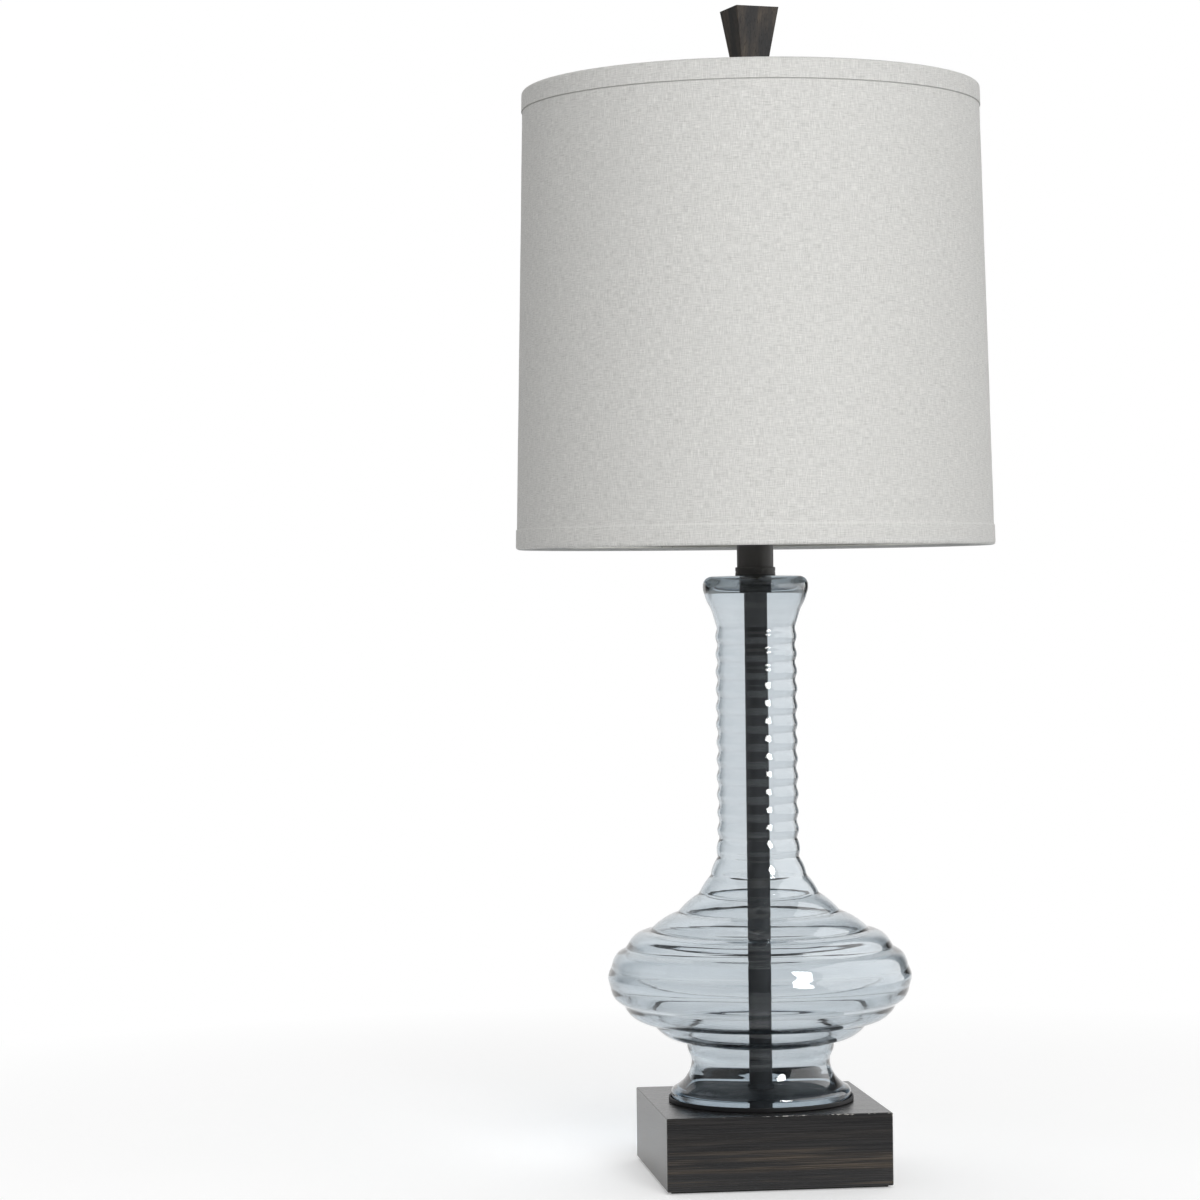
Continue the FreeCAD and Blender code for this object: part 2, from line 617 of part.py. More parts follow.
def harp_half_path():
    """Centre line of the right-hand leg: upright, out in an S, then in two arcs to the crown."""
    leg_top = leg_bottom() + HARP_LEG_LENGTH
    spread = HARP_HALF_WIDTH - HARP_LEG_X
    swing = 2 * math.atan2(spread, HARP_SPREAD_HEIGHT)
    s_radius = HARP_SPREAD_HEIGHT / (2 * math.sin(swing))
    widest = leg_top + HARP_SPREAD_HEIGHT

    def around(x, z, radius, angle):
        return FreeCAD.Vector(x + radius * math.cos(angle), 0, z + radius * math.sin(angle))

    start = FreeCAD.Vector(HARP_LEG_X, 0, leg_bottom())
    bend = FreeCAD.Vector(HARP_LEG_X, 0, leg_top)
    out_x = HARP_LEG_X + s_radius
    out_middle = around(out_x, leg_top, s_radius, math.pi - swing / 2)
    out_end = around(out_x, leg_top, s_radius, math.pi - swing)
    back_x = HARP_HALF_WIDTH - s_radius
    back_middle = around(back_x, widest, s_radius, -swing / 2)
    back_end = FreeCAD.Vector(HARP_HALF_WIDTH, 0, widest)

    # Two tangent arcs from the upright at the widest point to the level crown
    run = HARP_HALF_WIDTH - HARP_CROWN_HALF
    rise = HARP_CROWN - widest
    lean = 2 * math.atan2(run - HARP_CROWN_ROUND, rise - HARP_CROWN_ROUND)
    side_radius = (run - HARP_CROWN_ROUND * math.cos(lean)) / (1 - math.cos(lean))
    side_x = HARP_HALF_WIDTH - side_radius
    side_middle = around(side_x, widest, side_radius, lean / 2)
    side_end = around(side_x, widest, side_radius, lean)
    crown_z = HARP_CROWN - HARP_CROWN_ROUND
    crown_middle = around(HARP_CROWN_HALF, crown_z, HARP_CROWN_ROUND, (lean + math.pi / 2) / 2)
    crown_end = FreeCAD.Vector(HARP_CROWN_HALF, 0, HARP_CROWN)

    return [
        Part.LineSegment(start, bend).toShape(),
        Part.Arc(bend, out_middle, out_end).toShape(),
        Part.Arc(out_end, back_middle, back_end).toShape(),
        Part.Arc(back_end, side_middle, side_end).toShape(),
        Part.Arc(side_end, crown_middle, crown_end).toShape(),
        Part.LineSegment(crown_end, FreeCAD.Vector(0, 0, HARP_CROWN)).toShape(),
    ]


def harp():
    half = wire_along(harp_half_path(), HARP_WIRE_RADIUS)
    other = half.mirror(ORIGIN, FreeCAD.Vector(1, 0, 0))
    return half.fuse(other).removeSplitter()


def ferrule_right():
    bottom = SADDLE_TOP + 2 * REST_GAP
    return ring(FERRULE_RADIUS, FERRULE_BORE_RADIUS, bottom, bottom + FERRULE_LENGTH, FERRULE_X)


def ferrule_left():
    return ferrule_right().mirror(ORIGIN, FreeCAD.Vector(1, 0, 0))


def shank_bottom():
    return SHADE_SEAT - STUD_SHOULDER_THICKNESS - STUD_SHANK_LENGTH


def harp_boss():
    """Turned boss on the crown; the wire runs through it and the stud turns in its top."""
    boss = disc(BOSS_RADIUS, BOSS_BOTTOM, BOSS_TOP)
    wire = Part.makeCylinder(HARP_WIRE_RADIUS, 2 * BOSS_RADIUS,
                             FreeCAD.Vector(-BOSS_RADIUS, 0, HARP_CROWN),
                             FreeCAD.Vector(1, 0, 0))
    boss = boss.cut(wire)
    bore = disc(STUD_SHANK_RADIUS + RUNNING_CLEARANCE, shank_bottom() - REST_GAP, BOSS_TOP)
    return boss.cut(bore)


def harp_stud():
    shoulder_bottom = SHADE_SEAT - STUD_SHOULDER_THICKNESS
    shank = disc(STUD_SHANK_RADIUS, shank_bottom(), shoulder_bottom)
    shoulder = disc(STUD_SHOULDER_RADIUS, shoulder_bottom, SHADE_SEAT)
    thread = disc(STUD_THREAD_RADIUS, SHADE_SEAT, SHADE_SEAT + STUD_THREAD_LENGTH)
    return shank.fuse([shoulder, thread]).removeSplitter()


# ---------------------------------------------------------------- lamp holder
def holder_cap():
    shoulder = HOLDER_SHELL_BOTTOM
    top = HOLDER_BOTTOM + HOLDER_CAP_HEIGHT
    hub_top = HOLDER_BOTTOM + HOLDER_CAP_HUB_HEIGHT
    inner_radius = HOLDER_CAP_RADIUS - HOLDER_SHEET
    cap = Outline(PIPE_RADIUS, HOLDER_BOTTOM)
    cap.line(HOLDER_CAP_HUB_RADIUS, HOLDER_BOTTOM)
    cap.line(HOLDER_CAP_HUB_RADIUS, hub_top)
    cap.bulge(HOLDER_CAP_RADIUS, shoulder, HOLDER_CAP_BULGE)
    cap.line(HOLDER_CAP_RADIUS, top)
    cap.line(inner_radius, top)
    cap.line(inner_radius, shoulder)
    cap.bulge(HOLDER_CAP_HUB_RADIUS, hub_top + HOLDER_SHEET, -HOLDER_CAP_BULGE)
    cap.line(PIPE_RADIUS, hub_top + HOLDER_SHEET)
    return cap.turned()


def key_hole(radius):
    return rod_y(radius, -2 * HOLDER_CAP_RADIUS, 0, KEY_AXIS)


def holder_shell():
    inner = HOLDER_SHELL_RADIUS - HOLDER_SHEET
    bead_height = HOLDER_SHELL_TOP - 2 * HOLDER_SHELL_BEAD
    shell = Outline(inner, HOLDER_SHELL_BOTTOM)
    shell.line(HOLDER_SHELL_RADIUS, HOLDER_SHELL_BOTTOM)
    shell.line(HOLDER_SHELL_RADIUS, bead_height)
    shell.arc((HOLDER_SHELL_RADIUS + HOLDER_SHELL_BEAD, bead_height + HOLDER_SHELL_BEAD),
              (HOLDER_SHELL_RADIUS, HOLDER_SHELL_TOP))
    shell.line(inner, HOLDER_SHELL_TOP)
    return shell.turned().cut(key_hole(KEY_HOLE_RADIUS))


def holder_liner():
    sleeve = ring(LINER_RADIUS, LINER_RADIUS - LINER_THICKNESS, HOLDER_SHELL_BOTTOM,
                  HOLDER_SHELL_TOP + LINER_PROUD)
    return sleeve.cut(key_hole(KEY_HOLE_RADIUS))


def holder_core():
    core = disc(CORE_RADIUS, HOLDER_SHELL_BOTTOM, CORE_TOP)
    return core.cut(rod_y(KEY_SHAFT_RADIUS + RUNNING_CLEARANCE, -2 * CORE_RADIUS,
                          key_inner_end() + REST_GAP, KEY_AXIS))


def key_inner_end():
    return KEY_SHAFT_DEPTH - CORE_RADIUS


def screw_shell():
    outer = SCREW_SHELL_BORE + SCREW_SHELL_SHEET
    tube = disc(outer, CORE_TOP, CORE_TOP + SCREW_SHELL_LENGTH)
    return tube.cut(disc(SCREW_SHELL_BORE, CORE_TOP + SCREW_SHELL_SHEET,
                         CORE_TOP + SCREW_SHELL_LENGTH))


def centre_contact():
    return disc(CONTACT_SPRING_RADIUS, CORE_TOP + SCREW_SHELL_SHEET, CONTACT_TOP)


def switch_key():
    hub_back = -(HOLDER_CAP_RADIUS + KEY_STANDOFF)
    hub_front = hub_back - KEY_HUB_LENGTH
    shaft = rod_y(KEY_SHAFT_RADIUS, hub_back, key_inner_end(), KEY_AXIS)
    hub = rod_y(KEY_HUB_RADIUS, hub_front, hub_back, KEY_AXIS)
    paddle_front = hub_front - KEY_PADDLE_LENGTH
    paddle = block(KEY_PADDLE_THICKNESS, KEY_PADDLE_LENGTH,
                   KEY_AXIS - KEY_PADDLE_WIDTH / 2, KEY_AXIS + KEY_PADDLE_WIDTH / 2,
                   0, (hub_front + paddle_front) / 2)
    tip = [edge for edge in paddle.Edges if edge.BoundBox.YMax < paddle_front + TOUCHING]
    paddle = paddle.makeFillet(KEY_PADDLE_ROUND, tip)
    return shaft.fuse([hub, paddle]).removeSplitter()


# ---------------------------------------------------------------- bulb
def bulb_contact():
    return disc(BULB_CONTACT_RADIUS, BULB_BOTTOM, BULB_BOTTOM + BULB_CONTACT_THICKNESS)


def bulb_cap():
    """Threaded cap with its insulating cone, over the contact."""
    bottom = BULB_BOTTOM + BULB_CONTACT_THICKNESS + REST_GAP
    cap_bottom = BULB_BOTTOM + BULB_CAP_BOTTOM
    cap_top = BULB_BOTTOM + BULB_CAP_TOP
    cap = Outline(0, bottom)
    cap.line(BULB_CONTACT_RADIUS, bottom)
    cap.line(BULB_CAP_RADIUS, cap_bottom)
    cap.line(BULB_CAP_RADIUS, cap_top)
    cap.line(BULB_CAP_RADIUS - BULB_CAP_SHEET, cap_top)
    cap.line(BULB_CAP_RADIUS - BULB_CAP_SHEET, cap_bottom + BULB_CAP_SHEET)
    cap.line(0, cap_bottom + BULB_CAP_SHEET)
    return cap.turned()


def bulb_glass():
    """Envelope: a short neck on the cap, a hollow flare and a round crown, all tangent."""
    bottom = BULB_BOTTOM + BULB_CAP_TOP
    centre = BULB_BOTTOM + BULB_LENGTH - BULB_RADIUS
    flare_x = BULB_NECK_RADIUS + BULB_FLARE_RADIUS
    span = BULB_RADIUS + BULB_FLARE_RADIUS
    flare_z = centre - math.sqrt(span ** 2 - flare_x ** 2)
    lean = math.acos(flare_x / span)

    def skin(depth):
        """Points of the skin that lies this deep inside the outer one, from neck to crown."""
        flare = BULB_FLARE_RADIUS + depth
        crown = BULB_RADIUS - depth
        side = (math.pi / 2 - lean) / 2
        return (
            (BULB_NECK_RADIUS - depth, flare_z),
            (flare_x - flare * math.cos(lean / 2), flare_z + flare * math.sin(lean / 2)),
            (crown * math.cos(lean), centre - crown * math.sin(lean)),
            (crown * math.cos(side), centre + crown * math.sin(side)),
            (0, centre + crown),
        )

    outer = skin(0)
    inner = skin(BULB_GLASS_WALL)
    glass = Outline(BULB_NECK_RADIUS - BULB_GLASS_WALL, bottom)
    glass.line(BULB_NECK_RADIUS, bottom)
    glass.line(*outer[0])
    glass.arc(outer[1], outer[2])
    glass.arc(outer[3], outer[4])
    glass.line(*inner[4])
    glass.arc(inner[3], inner[2])
    glass.arc(inner[1], inner[0])
    return glass.turned()


# ---------------------------------------------------------------- shade
def shade_radius(height, inset=0.0):
    """Radius of the shade's wall at a height, a given depth inside its outer skin."""
    share = (height - SHADE_BOTTOM) / SHADE_HEIGHT
    return SHADE_BOTTOM_RADIUS - SHADE_TAPER * share - inset


def wall_shell(inset, thickness, bottom, top):
    """Cone shell of the shade's wall between two heights."""
    shell = Outline(shade_radius(bottom, inset), bottom)
    shell.line(shade_radius(top, inset), top)
    shell.line(shade_radius(top, inset + thickness), top)
    shell.line(shade_radius(bottom, inset + thickness), bottom)
    return shell.turned()


def fabric_bottom():
    return SHADE_BOTTOM + TRIM_FOLD_RADIUS


def fabric_top():
    return SHADE_TOP - TRIM_FOLD_RADIUS


def shade_fabric():
    return wall_shell(TRIM_THICKNESS, FABRIC_THICKNESS, fabric_bottom(), fabric_top())


def shade_liner():
    return wall_shell(LINER_INSET, LINER_SHEET_THICKNESS, fabric_bottom(), fabric_top())


def shade_seam():
    """Overlap of the linen, up the back between the trims."""
    bottom = SHADE_BOTTOM + TRIM_BAND
    top = SHADE_TOP - TRIM_BAND
    band = wall_shell(0, TRIM_THICKNESS, bottom, top)
    window = block(SEAM_WIDTH, SHADE_BOTTOM_RADIUS, bottom, top, 0, SHADE_BOTTOM_RADIUS)
    return band.common(window)


def ring_height(end, way):
    """Height of the wire ring's centre at a rim; way is +1 where up leads into the shade."""
    return end + way * TRIM_FOLD_RADIUS


def shade_ring(end, way):
    height = ring_height(end, way)
    return Part.makeTorus(shade_radius(height, RING_INSET), RING_WIRE_RADIUS,
                          FreeCAD.Vector(0, 0, height), AXIS)


def trim(end, way):
    """Folded trim: a band outside, over the wire ring, and back to the liner inside."""
    fold = ring_height(end, way)
    past_ring = fold + way * RING_WIRE_RADIUS
    band = end + way * TRIM_BAND
    hem = end + way * TRIM_HEM
    inner_fold = TRIM_FOLD_RADIUS - TRIM_THICKNESS
    depth = 2 * TRIM_FOLD_RADIUS

    def at(height, inset):
        return shade_radius(height, inset), height

    section = Outline(*at(band, 0))
    section.line(*at(fold, 0))
    section.arc((shade_radius(fold, TRIM_FOLD_RADIUS), end), at(fold, depth))
    section.line(*at(past_ring, depth))
    section.line(*at(hem, WALL_DEPTH + TRIM_THICKNESS))
    section.line(*at(band, WALL_DEPTH + TRIM_THICKNESS))
    section.line(*at(band, WALL_DEPTH))
    section.line(*at(hem - way * TRIM_THICKNESS, WALL_DEPTH))
    section.line(*at(past_ring, depth - TRIM_THICKNESS))
    section.line(*at(fold, depth - TRIM_THICKNESS))
    section.arc((shade_radius(fold, TRIM_FOLD_RADIUS), fold - way * inner_fold),
                at(fold, TRIM_THICKNESS))
    section.line(*at(band, TRIM_THICKNESS))
    return section.turned()


def shade_ring_top():
    return shade_ring(SHADE_TOP, -1)


def shade_ring_bottom():
    return shade_ring(SHADE_BOTTOM, 1)


def arm_path(radius_of_ring):
    """Spider arm in the XZ plane: level from the hub, then up to the ring in one bend."""
    height = SHADE_SEAT + SPIDER_HUB_THICKNESS / 2
    bend_start = radius_of_ring - SPIDER_ARM_BEND
    centre = (bend_start, height + SPIDER_ARM_BEND)
    diagonal = SPIDER_ARM_BEND * math.cos(HALF_RIGHT)
    start = FreeCAD.Vector(SPIDER_HUB_RADIUS, 0, height)
    corner = FreeCAD.Vector(bend_start, 0, height)
    middle = FreeCAD.Vector(centre[0] + diagonal, 0, centre[1] - diagonal)
    upright = FreeCAD.Vector(radius_of_ring, 0, centre[1])
    end = FreeCAD.Vector(radius_of_ring, 0, ring_height(SHADE_TOP, -1))
    return [Part.LineSegment(start, corner).toShape(), Part.Arc(corner, middle, upright).toShape(),
            Part.LineSegment(upright, end).toShape()]


def arm_directions():
    """The arms' directions in degrees; one runs to the back."""
    return [90 + k * FULL_TURN / SPIDER_ARM_COUNT for k in range(SPIDER_ARM_COUNT)]


def arms(radius):
    ring_radius = shade_radius(ring_height(SHADE_TOP, -1), RING_INSET)
    arm = wire_along(arm_path(ring_radius), radius)
    turned = []
    for angle in arm_directions():
        copy = arm.copy()
        copy.rotate(ORIGIN, AXIS, angle)
        turned.append(copy)
    return turned


def spider_hub():
    return ring(SPIDER_HUB_RADIUS, STUD_THREAD_RADIUS + ASSEMBLY_CLEARANCE, SHADE_SEAT, HUB_TOP)


def spider_arms():
    hub = disc(SPIDER_HUB_RADIUS, SHADE_SEAT, HUB_TOP)
    wire = shade_ring_top()
    return Part.makeCompound([arm.cut(hub.fuse(wire)) for arm in arms(SPIDER_ARM_RADIUS)])


def shade_trim_top():
    folded = trim(SHADE_TOP, -1)
    notches = arms(SPIDER_ARM_RADIUS + ASSEMBLY_CLEARANCE)
    return folded.cut(notches)


def shade_trim_bottom():
    return trim(SHADE_BOTTOM, 1)


# ---------------------------------------------------------------- finial
def finial_foot():
    """Turned metal foot: threaded on the stud, with a spigot up into the wood."""
    block_bottom = FINIAL_BLOCK_BOTTOM - REST_GAP
    bore = STUD_THREAD_RADIUS + FINIAL_THREAD_CLEARANCE
    bore_top = SHADE_SEAT + STUD_THREAD_LENGTH + FINIAL_BORE_SPARE
    waist = FINIAL_FOOT_RADIUS - FINIAL_FOOT_NECK_RADIUS
    foot = Outline(bore, FINIAL_BOTTOM)
    foot.line(FINIAL_FOOT_RADIUS, FINIAL_BOTTOM)
    foot.line(FINIAL_FOOT_RADIUS, FINIAL_BOTTOM + FINIAL_FOOT_PLATE)
    foot.bulge(FINIAL_FOOT_RADIUS, block_bottom - FINIAL_FOOT_PLATE, -waist)
    foot.line(FINIAL_FOOT_RADIUS, block_bottom)
    foot.line(FINIAL_SPIGOT_RADIUS, block_bottom)
    foot.line(FINIAL_SPIGOT_RADIUS, FINIAL_BLOCK_BOTTOM + FINIAL_SPIGOT_LENGTH)
    foot.line(0, FINIAL_BLOCK_BOTTOM + FINIAL_SPIGOT_LENGTH)
    foot.line(0, bore_top)
    foot.line(bore, bore_top)
    return foot.turned()


def finial_block():
    """Tapered square block, widest at the top, with a barely raised crown."""
    flat_top = FINIAL_TOP - FINIAL_CROWN
    body = four_sided(FINIAL_BOTTOM_SIDE, FINIAL_TOP_SIDE, FINIAL_BLOCK_BOTTOM, flat_top)
    sides = [edge for edge in body.Edges if edge.BoundBox.ZLength > FINIAL_BLOCK_HEIGHT / 2]
    body = body.makeFillet(FINIAL_EDGE, sides)
    crown = four_sided(FINIAL_TOP_SIDE - 2 * FINIAL_EDGE, FINIAL_CROWN_SIDE, flat_top, FINIAL_TOP)
    spigot_hole = disc(FINIAL_SPIGOT_RADIUS + RUNNING_CLEARANCE, FINIAL_BLOCK_BOTTOM,
                       FINIAL_BLOCK_BOTTOM + FINIAL_SPIGOT_LENGTH + FINIAL_SPIGOT_END_GAP)
    wood = body.fuse(crown).cut(spigot_hole)
    wood.rotate(ORIGIN, AXIS, FINIAL_TURN)
    return wood


# ---------------------------------------------------------------- files
PIECES = (
    felt_pad, wood_base, cord_bushing, lamp_pipe, recess_washer, lock_washer, hex_nut,
    foot_tray, foot_gasket, glass_body, centre_tube, tube_foot_collar, mouth_plug, lip_gasket,
    neck_flange, neck_tube, neck_cap, harp_saddle, saddle_nut,
    harp, ferrule_right, ferrule_left, harp_boss, harp_stud,
    holder_cap, holder_shell, holder_liner, holder_core, screw_shell, centre_contact, switch_key,
    bulb_contact, bulb_cap, bulb_glass,
    shade_fabric, shade_liner, shade_seam, shade_ring_top, shade_ring_bottom,
    shade_trim_top, shade_trim_bottom, spider_hub, spider_arms,
    finial_foot, finial_block,
)

os.makedirs("parts", exist_ok=True)
for piece in PIECES:
    shape = piece()
    shape.exportStep("parts/" + piece.__name__ + ".step")
    box = shape.BoundBox
    print(f"{piece.__name__}: {len(shape.Solids)} solids, {shape.Volume:.1f} mm3, "
          f"z {box.ZMin:.2f} to {box.ZMax:.2f}, valid {shape.isValid()}")
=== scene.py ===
"""Looks of the table lamp: a ribbed smoke-glass bottle on a dark wood plinth, under a linen drum.

Metres, +Z up, front towards -Y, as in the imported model. Sizes named here are millimetres; what a
material or a light is given is in metres.
"""

import math

import bmesh
import bpy
from mathutils import Matrix, Vector, noise


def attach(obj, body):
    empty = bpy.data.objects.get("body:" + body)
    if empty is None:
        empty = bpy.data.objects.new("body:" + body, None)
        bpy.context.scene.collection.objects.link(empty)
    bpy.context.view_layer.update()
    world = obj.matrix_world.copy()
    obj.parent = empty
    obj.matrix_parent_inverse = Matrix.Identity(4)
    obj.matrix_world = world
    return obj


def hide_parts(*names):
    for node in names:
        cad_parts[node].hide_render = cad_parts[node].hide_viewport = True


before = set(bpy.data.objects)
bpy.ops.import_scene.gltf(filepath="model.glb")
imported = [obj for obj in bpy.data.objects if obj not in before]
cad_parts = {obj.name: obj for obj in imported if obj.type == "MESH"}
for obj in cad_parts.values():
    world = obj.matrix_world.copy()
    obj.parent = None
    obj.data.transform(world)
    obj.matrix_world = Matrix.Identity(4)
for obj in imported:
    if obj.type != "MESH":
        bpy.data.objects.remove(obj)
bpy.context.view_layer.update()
MM = 0.001

# ---------------------------------------------------------------- sizes
BASE_HALF, BASE_BOTTOM, BASE_TOP = 77.5, 1.6, 51.2
FELT_HALF, FELT_THICK = 74.5, 1.6

FOOT_BOTTOM, WAIST, BULB_PITCH = 53.0, 81.1, 12.7
FOOT_RADIUS, FOOT_INNER, FOOT_INNER_TOP = 62.6, 57.0, 72.0
FOOT_EDGE = (54.4, 57.2, 57.6)          # heights along the foot's upright edge
FOOT_SHOULDER = (61.2, 60.4)
FOOT_HOLLOW = 3.6                       # how far the flare bends in from a straight cone
# The bulb's creases from the waist up: radius, and the rise of the rib above it.
BULB_CREASES = (
    (47.9, 1.3), (51.1, 4.2), (75.4, 4.1), (95.2, 2.8), (104.1, 2.5), (103.1, 3.2),
    (92.9, 3.7), (76.6, 1.6), (56.6, 0.9), (41.8, 0.7), (33.4, 1.0), (28.3, 1.4),
)
NECK_BOTTOM, NECK_PITCH, NECK_RIBS = 233.5, 12.25, 12
NECK_RADIUS, NECK_DEPTH = 27.1, 1.4
NECK_FLARE = ((28.8, 385.4), (31.0, 392.7), (34.3, 399.3))
LIP_RADIUS, LIP_BOTTOM, GLASS_TOP = 35.6, 404.9, 416.8
LIP_BELLY, LIP_SHOULDER_RADIUS, LIP_FLAT_RADIUS = (36.8, 409.5), 30.5, 22.0
MOUTH_RADIUS, MOUTH_DEPTH, MOUTH_ROUND = 11.4, 2.4, 6.0
INNER_TOP = 405.6
# Tables of height and value: the wall's thickness, and how much each side's corners are eased.
GLASS_WALLS = ((78, 2.8), (92, 2.3), (160, 2.2), (210, 2.0), (392, 2.0), (405, 2.6))
OUTER_EASE = ((79, 2.0), (83, 2.0), (91, 0.6), (106, 0.6), (119, 1.4), (128, 2.2), (161, 2.2),
              (170, 1.0), (183, 0.8), (240, 0.5), (372, 0.5), (380, 1.6), (390, 1.2),
              (405, 0.5))
INNER_EASE = ((60, 2.0), (83, 3.0), (91, 1.0), (106, 1.2), (119, 2.6), (128, 3.4), (161, 3.4),
              (170, 1.4), (200, 1.0), (235, 1.8), (370, 1.8), (390, 1.0), (405, 1.0))

SHADE_BOTTOM, SHADE_TOP = 436.2, 754.7
SHADE_BOTTOM_RADIUS, SHADE_TAPER = 166.8, 7.6
CLOTH_BOTTOM, CLOTH_HEIGHT = 438.2, 314.5
# The cloth's faces, its hem and its middle layer, measured in from the shade's outside.
CLOTH_OUTER, CLOTH_INNER, CLOTH_HEM, CLOTH_MIDDLE = 0.62, 1.12, 1.15, 0.87
SEAM_BOTTOM, SEAM_HEIGHT, SEAM_HALF, SEAM_INNER = 450.6, 289.8, 5.8, 0.66
TRIM_WIDTH, TRIM_HEM, TRIM_THICKNESS, TRIM_FOLD, WALL_DEPTH = 14.0, 9.0, 0.6, 2.35, 1.6


# ---------------------------------------------------------------- camera
CAMERA_AT = (-406.3, -2415.8, 409.9)
CAMERA_YAW, CAMERA_PITCH, CAMERA_ROLL = 7.009, -0.212, -0.646
CAMERA_LENS = 105.29


def make_camera():
    data = bpy.data.cameras.new("camera")
    data.lens = CAMERA_LENS
    data.sensor_width = 36.0
    data.clip_start, data.clip_end = 0.05, 60.0
    camera = bpy.data.objects.new("camera", data)
    yaw, pitch = math.radians(CAMERA_YAW), math.radians(CAMERA_PITCH)
    forward = Vector((math.sin(yaw) * math.cos(pitch), math.cos(yaw) * math.cos(pitch),
                      math.sin(pitch)))
    turn = forward.to_track_quat("-Z", "Y") @ Matrix.Rotation(
        math.radians(CAMERA_ROLL), 3, "Z").to_quaternion()
    camera.rotation_mode = "QUATERNION"
    camera.rotation_quaternion = turn
    camera.location = Vector(CAMERA_AT) * MM
    bpy.context.scene.collection.objects.link(camera)
    bpy.context.scene.camera = camera


# ---------------------------------------------------------------- node trees
class Nodes:
    """A node tree that is built node by node: what one method gives, another takes."""

    def __init__(self, tree):
        self.tree = tree
        self.tree.nodes.clear()

    def node(self, kind, feeds=None, **settings):
        made = self.tree.nodes.new("ShaderNode" + kind)
        for key, value in settings.items():
            setattr(made, key, value)
        for key, value in (feeds or {}).items():
            self.feed(made.inputs[key], value)
        return made

    def feed(self, socket, value):
        if isinstance(value, bpy.types.NodeSocket):
            self.tree.links.new(value, socket)
        elif socket.type == "RGBA" and len(value) == 3:
            socket.default_value = (*value, 1.0)
        else:
            socket.default_value = value

    def math(self, operation, *values, clamp=False):
        feeds = dict(enumerate(values))
        return self.node("Math", feeds, operation=operation, use_clamp=clamp).outputs[0]

    def plus(self, first, second):
        return self.math("ADD", first, second)

    def minus(self, first, second):
        return self.math("SUBTRACT", first, second)

    def times(self, first, second):
        return self.math("MULTIPLY", first, second)

    def times_plus(self, value, factor, offset):
        return self.math("MULTIPLY_ADD", value, factor, offset)

    def most(self, first, second):
        return self.math("MAXIMUM", first, second)

    def least(self, first, second):
        return self.math("MINIMUM", first, second)

    def joined(self, x, y, z):
        return self.node("CombineXYZ", {"X": x, "Y": y, "Z": z}).outputs[0]

    def split(self, source):
        parts = self.node("SeparateXYZ", {"Vector": source}).outputs
        return parts["X"], parts["Y"], parts["Z"]

    def off_axis(self, x, y):
        """Distance from the lamp's axis."""
        return self.math("SQRT", self.plus(self.times(x, x), self.times(y, y)))

    def span(self, value, low, high, to_low=0.0, to_high=1.0):
        """Maps a value's span from low to high on to another span, and clamps it."""
        made = self.node("MapRange", {"Value": value, "From Min": low, "From Max": high,
                                      "To Min": to_low, "To Max": to_high})
        return made.outputs[0]

    def between(self, share, first, second):
        """A level between two levels."""
        return self.node("Mix", {0: share, 2: first, 3: second}).outputs[0]

    def blend(self, share, first, second):
        """A colour between two colours."""
        return self.node("Mix", {0: share, 6: first, 7: second}, data_type="RGBA").outputs[2]

    def shader_mix(self, share, first, second):
        return self.node("MixShader", {0: share, 1: first, 2: second}).outputs[0]


class Look(Nodes):
    """A material."""

    def __init__(self, name):
        self.material = bpy.data.materials.new(name)
        self.material.use_nodes = True
        super().__init__(self.material.node_tree)
        self.output = self.node("OutputMaterial")
        self.place = self.node("TexCoord").outputs["Object"]

    def noise(self, scale, detail=2.0, roughness=0.5, distortion=0.0, at=None):
        """Noise as fine as its scale. Three scales run it along an axis."""
        place = self.place if at is None else at
        if isinstance(scale, tuple):
            place, scale = self.node("Mapping", {"Vector": place, "Scale": scale}).outputs[0], 1.0
        made = self.node("TexNoise", {"Vector": place, "Scale": scale, "Detail": detail,
                                      "Roughness": roughness, "Distortion": distortion})
        return made.outputs["Fac"]

    def bump(self, height, depth, strength):
        feeds = {"Height": height, "Distance": depth, "Strength": strength}
        return self.node("Bump", feeds).outputs[0]

    def surface(self, shader):
        self.feed(self.output.inputs["Surface"], shader)

    def principled(self, **sockets):
        """Puts a principled shader on the surface, and gives it."""
        feeds = {key.replace("_", " "): value for key, value in sockets.items()}
        shader = self.node("BsdfPrincipled", feeds).outputs[0]
        self.surface(shader)
        return shader


def gray(level):
    return (level, level, level)


# ---------------------------------------------------------------- materials
WEAVE_RADIUS, THREAD_PITCH = 0.163, 0.00056


